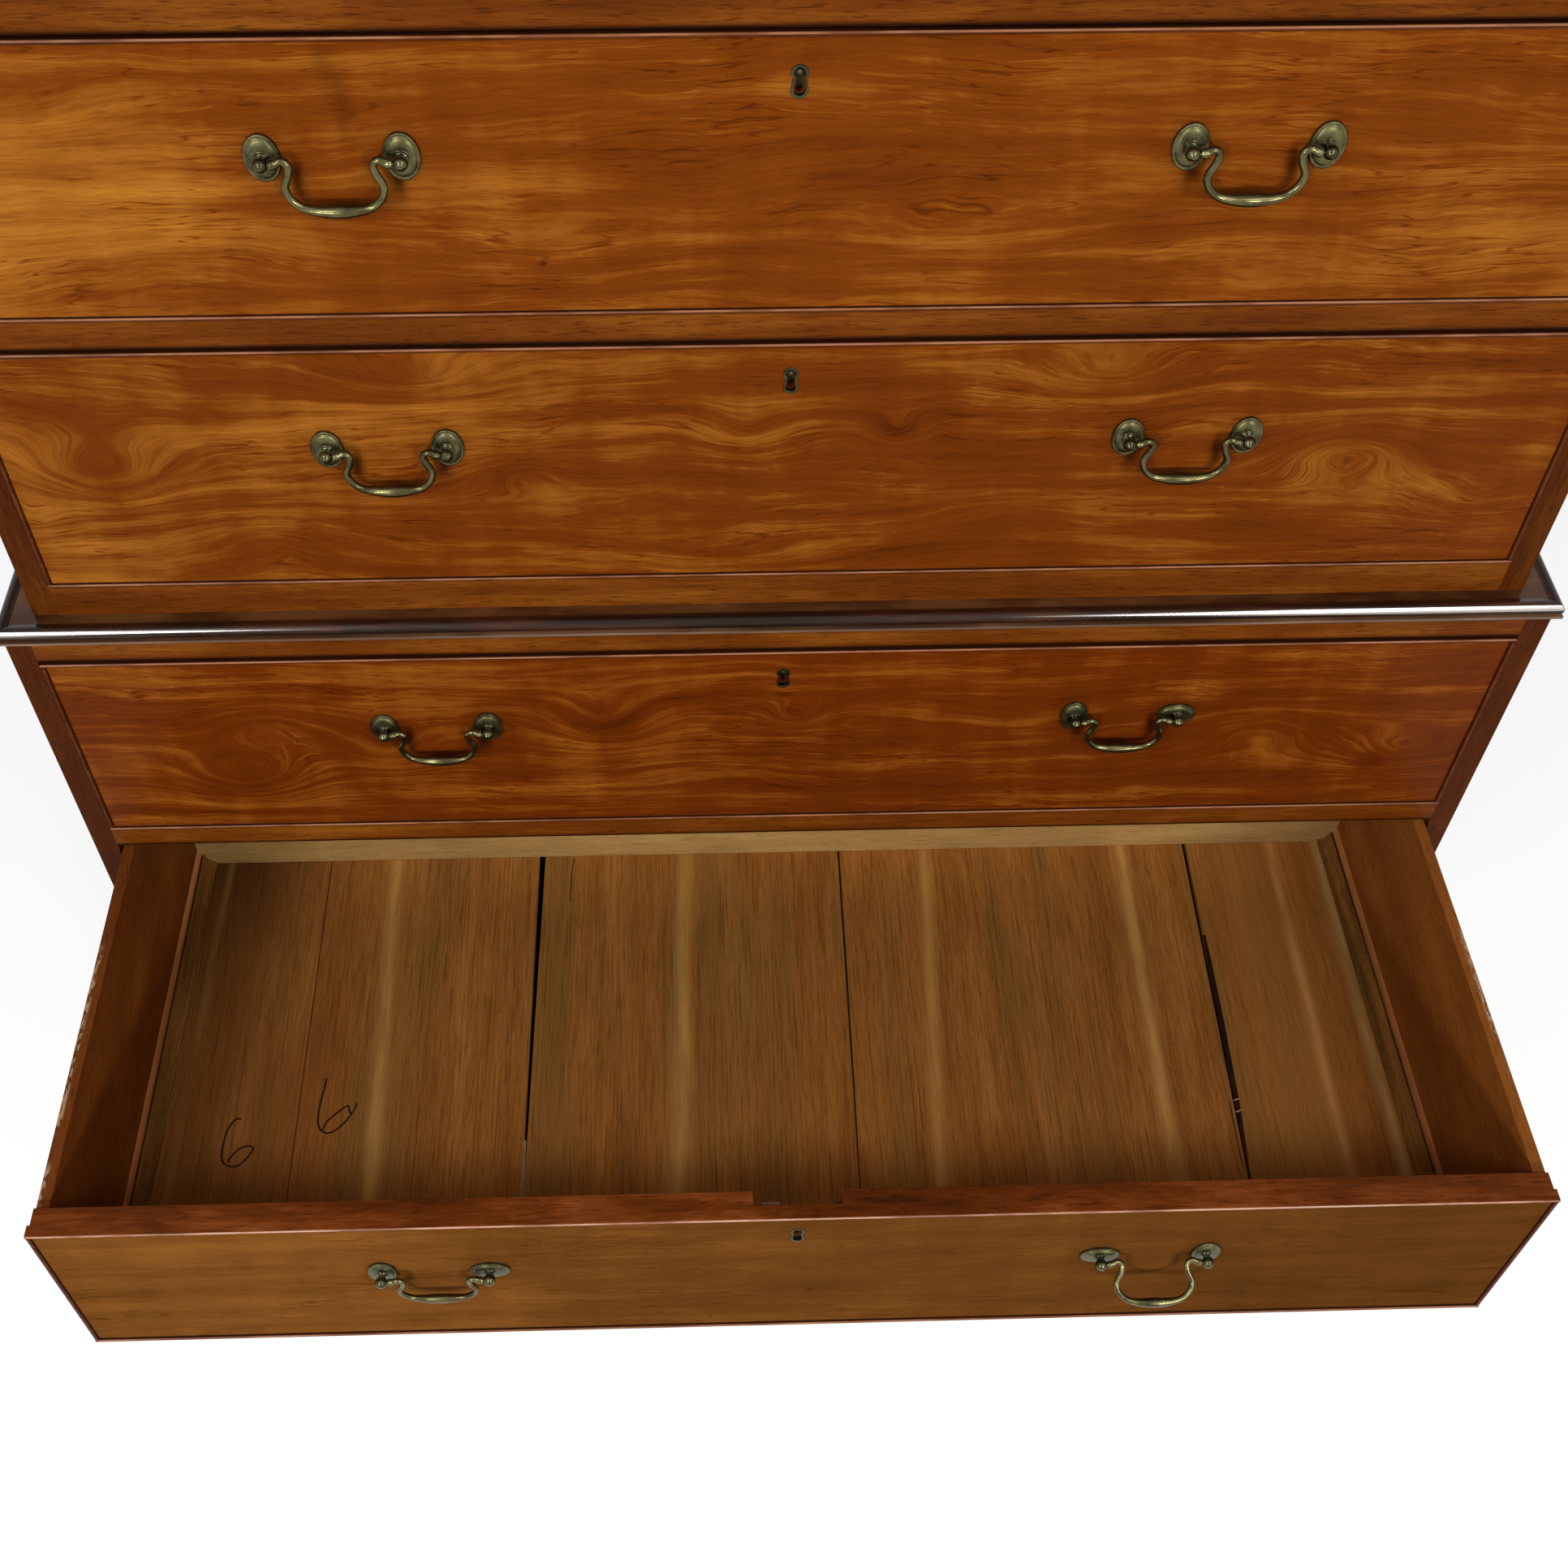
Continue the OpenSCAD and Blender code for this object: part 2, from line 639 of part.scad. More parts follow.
module front_board(i) {
    w = side_out(i);
    difference() {
        box([-w, 0, 0], [w, front_t, board_top(i)]);
        box([-w - over, -over, -over], [w + over, bead_rebate + glue, bead_t + glue]);
        for (s = [-1, 1]) {
            edge = half_w(i) - bead_t - glue;
            x0 = s > 0 ? edge : -w - over;
            box([x0, -over, -over], [x0 + w + over - edge, bead_rebate + glue, drawer_h[i]]);
            t0 = s > 0 ? side_in(i) : -w - over;
            along_x(t0, t0 + drawer_side_t + over)
                tails(front_t, front_t - tail_l - glue, side_z0, side_top(i), glue);
        }
        box([-side_in(i) - groove, front_t - groove, bottom_z],
            [side_in(i) + groove, front_t + over, floor_z]);
        lock_space(i, 0);
        along_y(-over, front_t + over) translate([0, keyhole_z(i)])
            keyhole(escutcheon_w - 2 * escutcheon_rim, escutcheon_h - 2 * escutcheon_rim);
        along_y(-over, escutcheon_in) translate([0, keyhole_z(i)]) keyhole(escutcheon_w, escutcheon_h);
        post_places(i) rotate([-90, 0, 0]) translate([0, 0, -over])
            cylinder(h = front_t + 2 * over, r = shank_r + glue, $fn = 24);
    }
}

module cockbeads(i) {
    w = half_w(i);
    difference() {
        translate([0, 0, drawer_h[i] - bead_t]) along_x(-w, w) bead_section(front_t);
        lock_space(i, 0);
        for (s = [-1, 1])
            box([s > 0 ? side_out(i) : -w - over, bead_rebate, drawer_h[i] - bead_t - over],
                [s > 0 ? w + over : -side_out(i), front_t + over, drawer_h[i] + over]);
    }
    along_x(-w, w) bead_section(bead_rebate);
    for (s = [-1, 1])
        translate([s > 0 ? w : -w + bead_t, 0, bead_t + glue])
            linear_extrude(drawer_h[i] - 2 * bead_t - 2 * glue)
                rotate(90) bead_section(bead_rebate);
}

module drawer_front(i) {
    at_drawer(i) {
        color(FRONT_WOOD) front_board(i);
        color(BEAD_DARK) cockbeads(i);
    }
}

// A side board with its tails at both ends and the groove for the bottom
module drawer_side(i) {
    back_z = floor_z + glue;
    difference() {
        along_x(side_in(i), side_out(i)) union() {
            translate([front_t, side_z0])
                square([drawer_d - drawer_back_t - front_t, side_top(i) - side_z0]);
            translate([drawer_d - drawer_back_t - over, side_z0])
                square([drawer_back_t + over, back_z - side_z0]);
            tails(front_t, front_t - tail_l, side_z0, side_top(i), 0);
            tails(drawer_d - drawer_back_t, drawer_d, back_z, side_top(i), 0);
        }
        box([side_in(i) - over, front_t - groove, bottom_z],
            [side_in(i) + groove, drawer_d + over, floor_z]);
    }
}

// The back, held between the tails of the sides and standing on the bottom boards
module drawer_back(i) {
    x = side_out(i);
    inner = side_in(i) - glue;
    y0 = drawer_d - drawer_back_t + glue;
    difference() {
        box([-x, y0, floor_z + 2 * glue], [x, drawer_d, side_top(i) - glue]);
        for (s = [0, 1]) mirror([s, 0, 0])
            along_x(inner, x + over)
                tails(y0 - 2 * glue, drawer_d + 2 * glue, floor_z + glue, side_top(i), glue);
    }
}

// Corner fillet above the bottom and the strip below it, along one side
fillet_w = 14;
fillet_z = 20;
module corner_strips(i) {
    x = side_in(i) - glue;
    z = floor_z + glue;
    along_y(front_t + glue, drawer_d - drawer_back_t) polygon(concat(
        [[x, z], [x, z + fillet_z]],
        arc(x, z, 3, fillet_z, 90, 150, 3),
        arc(x - fillet_w, z + fillet_z, fillet_w - 4, fillet_z - 3, -20, -90, 5),
        [[x - fillet_w, z]]));
    box([x - fillet_w, front_t + glue, side_z0], [x, drawer_d - glue, bottom_z - glue]);
}

module drawer_box(i) {
    color(DRAWER_WOOD) at_drawer(i) {
        for (s = [0, 1]) mirror([s, 0, 0]) {
            drawer_side(i);
            corner_strips(i);
        }
        drawer_back(i);
    }
}

// Bottom boards with their grain front to back, in the grooves and under the back
module drawer_bottom(i) {
    half = side_in(i) + groove;
    inner = side_in(i);
    n = len(splits_front(i));
    y0 = front_t - groove;
    color(BOTTOM_WOOD) at_drawer(i) translate([0, 0, bottom_z]) for (k = [0:n]) {
        left_f = k == 0 ? -half : inner * splits_front(i)[k - 1] + front_gap(i, k - 1) / 2;
        left_b = k == 0 ? -half : inner * splits_back(i)[k - 1] + back_gap(i, k - 1) / 2;
        right_f = k == n ? half : inner * splits_front(i)[k] - front_gap(i, k) / 2;
        right_b = k == n ? half : inner * splits_back(i)[k] - back_gap(i, k) / 2;
        linear_extrude(bottom_t)
            polygon([[left_f, y0], [right_f, y0], [right_b, drawer_d], [left_b, drawer_d]]);
    }
}

// Brasses

module oval(w, h) {
    polygon([for (a = [0:10:350]) [w / 2 * cos(a), h / 2 * sin(a)]]);
}

// Rosette: an oval plate with a raised rim and a round boss for the post
module rosette() {
    difference() {
        union() {
            along_y(-rosette_t, 0) oval(rosette_w, rosette_h);
            along_y(-rim_t, 0) difference() {
                oval(rosette_w, rosette_h);
                oval(rosette_w - 2 * rim_w, rosette_h - 2 * rim_w);
            }
            along_y(-rim_t, 0) circle(collar_r, $fn = 32);
        }
        along_y(-rim_t - over, over) circle(shank_r + glue, $fn = 24);
    }
}

// Post: shank, collar, neck and ball, turned about its own axis; the bail's pin enters from one side
module post(end) {
    behind = front_t + nut_t + shank_end;
    difference() {
        rotate([90, 0, 0]) rotate_extrude($fn = 32) difference() {
            union() {
                translate([0, -behind]) square([shank_r, behind + rim_t + post_foot_t]);
                translate([0, rim_t + glue]) square([post_foot_r, post_foot_t]);
                translate([0, rim_t + glue]) square([neck_r, pin_out - rim_t]);
                translate([0, pin_out]) circle(ball_r, $fn = 32);
            }
            translate([-2 * ball_r, -2 * front_t]) square([2 * ball_r, 3 * front_t]);
        }
        translate([0, -pin_out, 0]) rotate([0, -end * 90, 0]) translate([0, 0, -pin_l + ball_r])
            cylinder(h = pin_l + over, r = hole_r, $fn = 24);
    }
}

// Nut inside the drawer, against the front's inner face
module nut() {
    translate([0, front_t + glue, 0]) rotate([-90, 0, 0]) difference() {
        cylinder(h = nut_t, r = nut_r, $fn = 6);
        translate([0, 0, -over]) cylinder(h = nut_t + 2 * over, r = shank_r + glue, $fn = 24);
    }
}

// Lock in its recess, its bolt drawn back, with the pin that a key slides over
key_pin_r = 1.25;
bolt_back = 6;       // how far the bolt is drawn back into the lock
module lock(i) {
    difference() {
        lock_space(i, glue);
        box([-bolt_w / 2, front_t - (lock_t + bolt_t) / 2, drawer_h[i] - bolt_back],
            [bolt_w / 2, front_t - (lock_t - bolt_t) / 2, drawer_h[i] + over]);
    }
    z = keyhole_z(i) + escutcheon_h / 2 - escutcheon_w / 2;
    translate([0, 0, z]) rotate([-90, 0, 0]) translate([0, 0, 1])
        cylinder(h = front_t - lock_t, r = key_pin_r, $fn = 16);
}

module escutcheon(i) {
    translate([0, 0, keyhole_z(i)]) along_y(-escutcheon_proud, escutcheon_in) difference() {
        keyhole(escutcheon_w - 2 * glue, escutcheon_h - 2 * glue);
        keyhole(escutcheon_w - 2 * escutcheon_rim, escutcheon_h - 2 * escutcheon_rim);
    }
}

module drawer_brasses(i) {
    color(OLD_BRASS) at_drawer(i) {
        post_places(i) rosette();
        for (side = handles(i), end = [-1, 1])
            translate([handle_mid(i, side) + end * post_spacing / 2, 0, handle_z(i)]) {
                post(end);
                nut();
            }
        escutcheon(i);
        if (i != 6) lock(i);
    }
}

// Bail: half of the rod's middle line from the pin to the middle of the grip, with its radius.
// Each row is a distance from the middle, a height and a radius.
half_span = post_spacing / 2 - pin_start;
function bail_half() = [
    [half_span, 0, rod_r * 1.25],
    [half_span - 3.2, 0.7, rod_r * 1.2],
    [half_span - 7.2, 2.3, rod_r],
    [half_span - 10.4, -0.2, rod_r],
    [half_span - 9.8, -bail_drop * 0.2, rod_r],
    [half_span - 6.6, -bail_drop * 0.46, rod_r],
    [half_span - 8.2, -bail_drop * 0.7, rod_r],
    [half_span - 14, -bail_drop * 0.9, rod_r * 1.05],
    [half_span - 22, -bail_drop * 0.98, rod_r * 1.35],
    [half_span * 0.12, -bail_drop, grip_r * 0.97]];
function bail_points() = let (h = bail_half(), n = len(h) - 1) concat(
    h, [[0, -bail_drop, grip_r]], [for (k = [n:-1:0]) [-h[k][0], h[k][1], h[k][2]]]);

// A smooth curve through the rows, three steps from each to the next
steps = 3;
function blend(a, b, c, d, t) =
    0.5 * ((2 * b) + (c - a) * t + (2 * a - 5 * b + 4 * c - d) * t * t + (3 * b - a - 3 * c + d) * t * t * t);
function smooth(p) = let (n = len(p) - 1) concat(
    [for (k = [0:n - 1], s = [0:steps - 1])
        blend(p[max(k - 1, 0)], p[k], p[k + 1], p[min(k + 2, n)], s / steps)],
    [p[n]]);

sides = 8;
module bail_rod() {
    c = smooth(bail_points());
    n = len(c);
    function heading(k) = let (d = c[min(k + 1, n - 1)] - c[max(k - 1, 0)])
        k == 0 || k == n - 1 ? [-1, 0] : [d[0], d[1]] / norm([d[0], d[1]]);
    rings = [for (k = [0:n - 1], s = [0:sides - 1])
        let (u = heading(k), a = 360 * (s + 0.5) / sides, r = c[k][2] / cos(180 / sides))
            [c[k][0] - u[1] * r * cos(a), r * sin(a), c[k][1] + u[0] * r * cos(a)]];
    walls = [for (k = [0:n - 2], s = [0:sides - 1], f = [0, 1])
        let (a = k * sides + s, b = k * sides + (s + 1) % sides)
            f == 0 ? [a, b, b + sides] : [a, b + sides, a + sides]];
    caps = [[for (s = [sides - 1:-1:0]) s], [for (s = [0:sides - 1]) (n - 1) * sides + s]];
    polyhedron(points = rings, faces = concat(walls, caps));
}

module bail(i, side, angle) {
    color(OLD_BRASS) at_drawer(i)
        translate([handle_mid(i, side), -pin_out, handle_z(i)]) rotate([-angle, 0, 0]) {
            bail_rod();
            for (s = [-1, 1])
                translate([s * half_span, 0, 0]) rotate([0, s * 90, 0]) translate([0, 0, -1])
                    cylinder(h = pin_start + pin_l - ball_r, r = pin_r, $fn = 24);
        }
}

lower_side(false);  // lower_side_left
lower_side(true);  // lower_side_right
lower_top();
lower_bottom();
lower_back();
lower_rails();
lower_runners();
waist_moulding();
base_moulding();
front_feet();
rear_feet();
upper_side(false);  // upper_side_left
upper_side(true);  // upper_side_right
upper_top();
upper_bottom();
upper_back();
upper_rails();
upper_runners();
cornice();
for (i = [1:7]) {
    drawer_front(i);
    drawer_box(i);
    drawer_bottom(i);
    drawer_brasses(i);
}
for (i = [1:2]) bail(i, 0, 0);
for (i = [3:7]) {
    bail(i, -1, 0);
    bail(i, 1, i == 6 ? swung_angle : 0);
}
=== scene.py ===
"""Mahogany chest-on-chest with its sixth drawer open: its woods, brasses, small repairs and light."""

import json
import logging
import math
from dataclasses import dataclass, replace
from enum import Enum
from typing import Callable, ClassVar, Union

import bmesh
import bpy
import numpy as np
from mathutils import Matrix, Vector


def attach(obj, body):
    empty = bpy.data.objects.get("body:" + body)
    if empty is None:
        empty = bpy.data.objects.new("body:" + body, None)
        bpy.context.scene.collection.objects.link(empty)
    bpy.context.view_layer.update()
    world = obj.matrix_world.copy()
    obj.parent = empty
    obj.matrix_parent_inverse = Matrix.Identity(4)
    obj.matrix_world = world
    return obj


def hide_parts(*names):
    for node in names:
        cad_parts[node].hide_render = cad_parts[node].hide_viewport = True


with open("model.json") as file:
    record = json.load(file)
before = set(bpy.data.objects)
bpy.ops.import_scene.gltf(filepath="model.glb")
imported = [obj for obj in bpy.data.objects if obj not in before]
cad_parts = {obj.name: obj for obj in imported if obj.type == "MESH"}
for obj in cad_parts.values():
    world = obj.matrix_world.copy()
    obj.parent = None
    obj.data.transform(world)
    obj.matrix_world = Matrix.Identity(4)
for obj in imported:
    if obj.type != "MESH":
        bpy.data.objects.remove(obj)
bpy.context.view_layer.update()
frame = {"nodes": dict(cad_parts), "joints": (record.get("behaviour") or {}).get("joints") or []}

MM = 0.001
OPEN_DRAWER = 6
log = logging.getLogger("chest")

Socket = bpy.types.NodeSocket
Material = bpy.types.Material
Colour = tuple[float, float, float, float]
Row = tuple[float, ...]
Pair = tuple[float, float]


def shade(red: float, green: float, blue: float) -> Colour:
    """A colour in linear light from its three parts."""
    return (red, green, blue, 1.0)


# Shader trees


class Tree:
    """Places nodes in one shader tree and links them."""

    def __init__(self, tree: bpy.types.NodeTree) -> None:
        """Takes the tree to build in.

        Args:
            tree: a material's or a group's node tree.
        """
        self.nodes = tree.nodes
        self.links = tree.links

    def put(self, socket: Socket, value: object) -> None:
        """Links a socket to another, or sets it to a constant.

        Args:
            socket: the input to fill.
            value: a socket, a number or a tuple of numbers.
        """
        if isinstance(value, bpy.types.NodeSocket):
            self.links.new(value, socket)
        elif isinstance(value, tuple):
            socket.default_value = value[:len(socket.default_value)]
        else:
            socket.default_value = value

    def node(self, kind: str, settings: dict[str, object] | None = None,
             **values: object) -> bpy.types.Node:
        """Adds a node.

        Args:
            kind: its type.
            settings: its plain properties.
            **values: its inputs by name, with underscores for spaces.

        Returns:
            The node.
        """
        made = self.nodes.new(kind)
        for name, value in (settings or {}).items():
            setattr(made, name, value)
        for name, value in values.items():
            self.put(made.inputs[name.replace("_", " ")], value)
        return made

    def math(self, operation: str, *terms: object, clamp: bool = False) -> Socket:
        """One math step.

        Args:
            operation: its name in capitals.
            *terms: sockets or numbers.
            clamp: whether the result stays between 0 and 1.

        Returns:
            The result's socket.
        """
        made = self.node("ShaderNodeMath", {"operation": operation, "use_clamp": clamp})
        for socket, term in zip(made.inputs, terms):
            self.put(socket, term)
        return made.outputs[0]

    def times(self, first: object, second: object) -> Socket:
        """The product of two terms."""
        return self.math("MULTIPLY", first, second)

    def fused(self, value: object, factor: object, added: object) -> Socket:
        """A value times a factor, with something added."""
        return self.math("MULTIPLY_ADD", value, factor, added)

    def minus(self, value: object, taken: object) -> Socket:
        """The difference of two terms."""
        return self.math("SUBTRACT", value, taken)

    def held(self, value: object) -> Socket:
        """A value kept between 0 and 1."""
        return self.math("MULTIPLY", value, 1.0, clamp=True)

    def bell(self, square: object) -> Socket:
        """A bell curve over a squared distance."""
        return self.math("EXPONENT", self.times(square, -1.0))

    def vector(self, operation: str, *terms: object, result: str = "Vector") -> Socket:
        """One vector step.

        Args:
            operation: its name in capitals.
            *terms: sockets or triples.
            result: the output that is wanted.

        Returns:
            The result's socket.
        """
        made = self.node("ShaderNodeVectorMath", {"operation": operation})
        for socket, term in zip(made.inputs, terms):
            self.put(socket, term)
        return made.outputs[result]

    def scaled(self, vector: object, factors: Row) -> Socket:
        """A vector or a colour, each part times its own factor."""
        return self.vector("MULTIPLY", vector, factors)

    def total(self, terms: list[object]) -> object:
        """The sum of several terms."""
        whole = terms[0]
        for term in terms[1:]:
            whole = self.math("ADD", whole, term)
        return whole

    def point(self, x: object, y: object, z: object) -> Socket:
        """A vector from three parts."""
        return self.node("ShaderNodeCombineXYZ", X=x, Y=y, Z=z).outputs[0]

    def parts(self, vector: object) -> tuple[Socket, Socket, Socket]:
        """The three parts of a vector."""
        made = self.node("ShaderNodeSeparateXYZ", Vector=vector)
        return made.outputs[0], made.outputs[1], made.outputs[2]

    def facing(self) -> tuple[Socket, Socket, Socket]:
        """The three parts of the direction that the surface faces."""
        return self.parts(self.node("ShaderNodeNewGeometry").outputs["True Normal"])

    def noise(self, vector: object, detail: float = 2.0, roughness: float = 0.5,
              twist: float = 0.0) -> Socket:
        """Smooth noise about 0.5 over a vector that is already scaled.

        Args:
            vector: where it is read.
            detail: its number of octaves.
            roughness: how strong the finer ones are.
            twist: its distortion.

        Returns:
            The noise's socket.
        """
        return self.node("ShaderNodeTexNoise", Vector=vector, Scale=1.0, Detail=detail,
                         Roughness=roughness, Distortion=twist).outputs[0]

    def span(self, value: object, low: float, high: float, start: float = 0.0, end: float = 1.0,
             smooth: bool = True) -> Socket:
        """Maps low to start and high to end, and holds the ends.

        Args:
            value: what is mapped.
            low: the value that gives start.
            high: the value that gives end.
            start: the first result.
            end: the last result.
            smooth: whether the ends are eased.

        Returns:
            The mapped socket.
        """
        way = "SMOOTHSTEP" if smooth else "LINEAR"
        made = self.node("ShaderNodeMapRange", {"interpolation_type": way})
        for socket, term in zip(made.inputs, (value, low, high, start, end)):
            self.put(socket, term)
        return made.outputs[0]

    def mix(self, share: object, first: object, second: object) -> Socket:
        """Mixes two colours.

        Args:
            share: how much of the second shows.
            first: the first colour.
            second: the second colour.

        Returns:
            The mixed colour's socket.
        """
        made = self.node("ShaderNodeMix", {"data_type": "RGBA"})
        for place, value in ((0, share), (6, first), (7, second)):
            self.put(made.inputs[place], value)
        return made.outputs[2]


class Kind(Enum):
    """The kinds of socket that a group has."""

    NUMBER = "NodeSocketFloat"
    VECTOR = "NodeSocketVector"
    COLOUR = "NodeSocketColor"


class Effect:
    """A shader node group that is built once and placed in any material."""

    title: ClassVar[str]
    takes: ClassVar[dict[str, Kind]]
    gives: ClassVar[dict[str, Kind]]

    @classmethod
    def lay(cls, tree: Tree, given: dict[str, Socket]) -> dict[str, Socket]:
        """Lays the group's nodes.

        Args:
            tree: the group's tree.
            given: its inputs by name.

        Returns:
            Its outputs by name.
        """
        raise NotImplementedError

    @classmethod
    def group(cls) -> bpy.types.NodeTree:
        """The group, made at its first use."""
        made = bpy.data.node_groups.get(cls.title)
        if made is None:
            made = bpy.data.node_groups.new(cls.title, "ShaderNodeTree")
            for side, sockets in (("INPUT", cls.takes), ("OUTPUT", cls.gives)):
                for name, kind in sockets.items():
                    made.interface.new_socket(name=name, in_out=side, socket_type=kind.value)
            start, end = made.nodes.new("NodeGroupInput"), made.nodes.new("NodeGroupOutput")
            tree = Tree(made)
            results = cls.lay(tree, {name: start.outputs[name] for name in cls.takes})
            for name, value in results.items():
                tree.put(end.inputs[name], value)
        return made

    @classmethod
    def use(cls, tree: Tree, **values: object) -> dict[str, Socket]:
        """Places the group in a tree.

        Args:
            tree: where it goes.
            **values: its inputs by name, in small letters.

        Returns:
            Its outputs by name.
        """
        placed = tree.node("ShaderNodeGroup", {"node_tree": cls.group()})
        for name, value in values.items():
            tree.put(placed.inputs[name.capitalize()], value)
        return {name: placed.outputs[name] for name in cls.gives}


class SoftSpot(Effect):
    """An oval place that fades out: a swelling of the grain, a pale or a dark patch."""

    title = "Soft spot"
    takes = {"Point": Kind.VECTOR, "Centre": Kind.VECTOR, "Reach": Kind.VECTOR,
             "Amount": Kind.NUMBER}
    gives = {"Field": Kind.NUMBER}

    @classmethod
    def lay(cls, tree: Tree, given: dict[str, Socket]) -> dict[str, Socket]:
        """Amount times a bell curve over the distance from the centre, in reaches."""
        away = tree.vector("SUBTRACT", given["Point"], given["Centre"])
        off = tree.vector("DIVIDE", away, given["Reach"])
        bell = tree.bell(tree.vector("DOT_PRODUCT", off, off, result="Value"))
        return {"Field": tree.times(bell, given["Amount"])}


class GrainField(Effect):
    """The height of the grain's layers: the distance across the board, bent by two waves.

    A wave has the name of its amount, its length along and across the board in mm, and its detail.
    """

    title = "Grain field"
    takes = {"Point": Kind.VECTOR, "Sweep": Kind.NUMBER, "Ripple": Kind.NUMBER, "Seed": Kind.NUMBER}
    gives = {"Height": Kind.NUMBER}
    waves = (("Sweep", 330.0, 95.0, 1.0), ("Ripple", 62.0, 34.0, 2.0))
    depth = 120.0

    @classmethod
    def lay(cls, tree: Tree, given: dict[str, Socket]) -> dict[str, Socket]:
        """Adds two waves of noise to the distance across."""
        along, across, through = tree.parts(given["Point"])
        seed = given["Seed"]
        terms = [across]
        for amount, length, width, detail in cls.waves:
            place = tree.point(tree.fused(along, 1 / length, seed), tree.times(across, 1 / width),
                               tree.fused(through, 1 / cls.depth, seed))
            terms.append(tree.times(tree.minus(tree.noise(place, detail), 0.5), given[amount]))
        return {"Height": tree.total(terms)}


class WoodTone(Effect):
    """Wood's colour over the grain's layers: soft bands, streaks, thin veins, fibres and pores.

    Rates are cycles per mm along, across and through the board, and steps keep patterns apart.
    """

    title = "Wood tone"
    takes = {"Along": Kind.NUMBER, "Height": Kind.NUMBER, "Through": Kind.NUMBER,
             "Seed": Kind.NUMBER, "Band": Kind.NUMBER, "Contrast": Kind.NUMBER,
             "Fibre": Kind.NUMBER, "Veins": Kind.NUMBER, "Lift": Kind.NUMBER, "Pores": Kind.NUMBER,
             "Dark": Kind.COLOUR, "Middle": Kind.COLOUR, "Light": Kind.COLOUR}
    gives = {"Colour": Kind.COLOUR, "Relief": Kind.NUMBER}
    fibre_rates = (0.03, 0.42, 0.42)
    patch_rates = (0.011, 0.024, 0.02)
    pore_rates = (0.085, 1.15, 1.15)
    layer_depth_rate = 0.02
    band_share, streak_share = 1.3, 0.62
    vein_drift, vein_width = 0.008, 0.018
    dark_vein = (1.7, 23.0)
    light_vein = (2.3, 37.0)
    light_vein_share = 0.4
    pore_tint = (0.45, 0.45, 0.5)
    fibre_relief = 0.35

    @classmethod
    def lay(cls, tree: Tree, given: dict[str, Socket]) -> dict[str, Socket]:
        """Bands, streaks, veins and fibres pick a place between the colours; pores darken it."""
        along, height, through = given["Along"], given["Height"], given["Through"]
        seed = given["Seed"]
        layer = tree.math("DIVIDE", height, given["Band"])

        def layers(rate: float, drift: float, detail: float, step: float) -> Socket:
            """Noise about 0 that runs along the layers."""
            place = tree.point(tree.fused(along, drift, seed), tree.times(layer, rate),
                               tree.fused(through, cls.layer_depth_rate, step))
            return tree.minus(tree.noise(place, detail, 0.6), 0.5)

        def vein(rate: float, step: float) -> Socket:
            """A thin line where a slow noise crosses its middle."""
            off = tree.math("ABSOLUTE", layers(rate, cls.vein_drift, 2.0, step))
            return tree.span(off, 0.0, cls.vein_width, 1.0, 0.0)

        def place(rates: Row, start: object = 0.0) -> Socket:
            """Where a noise is read, at the given rates."""
            return tree.point(tree.fused(along, rates[0], start), tree.times(height, rates[1]),
                              tree.times(through, rates[2]))

        bands = layers(1.0, 0.005, 1.0, 3.0)
        streaks = layers(4.6, 0.016, 3.0, 11.0)
        fibres = tree.minus(tree.noise(place(cls.fibre_rates), 3.0, 0.72), 0.5)
        patches = tree.span(tree.noise(place(cls.patch_rates, seed), 1.0), 0.42, 0.62)
        patches = tree.times(patches, given["Veins"])
        tone = tree.fused(streaks, cls.streak_share, tree.times(bands, cls.band_share))
        tone = tree.fused(tone, given["Contrast"], tree.total([given["Lift"], 0.5]))
        tone = tree.fused(fibres, given["Fibre"], tone)
        tone = tree.minus(tone, tree.times(vein(*cls.dark_vein), patches))
        tone = tree.fused(vein(*cls.light_vein), tree.times(patches, cls.light_vein_share), tone)
        colour = tree.mix(tree.span(tone, 0.0, 0.5, smooth=False), given["Dark"], given["Middle"])
        colour = tree.mix(tree.span(tone, 0.5, 1.0, smooth=False), colour, given["Light"])
        pores = tree.span(tree.noise(place(cls.pore_rates), 1.0, 0.4), 0.60, 0.70)
        pores = tree.times(pores, given["Pores"])
        colour = tree.mix(pores, colour, tree.scaled(given["Dark"], cls.pore_tint))
        return {"Colour": colour, "Relief": tree.minus(tree.times(fibres, cls.fibre_relief), pores)}


class Mottle(Effect):
    """Cloudy patches of a given size, as a mask about 0.5."""

    title = "Mottle"
    takes = {"Point": Kind.VECTOR, "Size": Kind.VECTOR, "Seed": Kind.NUMBER}
    gives = {"Mask": Kind.NUMBER}

    @classmethod
    def lay(cls, tree: Tree, given: dict[str, Socket]) -> dict[str, Socket]:
        """Noise over the point, divided by the size."""
        place = tree.vector("ADD", tree.vector("DIVIDE", given["Point"], given["Size"]),
                            tree.point(given["Seed"], 0.0, given["Seed"]))
        return {"Mask": tree.noise(place, 3.0, 0.55, 0.3)}


class WornEdge(Effect):
    """Where a piece turns a sharp corner: a mask, and a normal that rounds the corner off."""

    title = "Worn edge"
    takes = {"Radius": Kind.NUMBER}
    gives = {"Mask": Kind.NUMBER, "Normal": Kind.VECTOR}

    @classmethod
    def lay(cls, tree: Tree, given: dict[str, Socket]) -> dict[str, Socket]:
        """Compares the rounded normal with the flat one."""
        rounded = tree.node("ShaderNodeBevel", {"samples": 4}, Radius=given["Radius"]).outputs[0]
        flat = tree.node("ShaderNodeNewGeometry").outputs["Normal"]
        same = tree.vector("DOT_PRODUCT", rounded, flat, result="Value")
        return {"Mask": tree.span(same, 0.995, 0.86), "Normal": rounded}


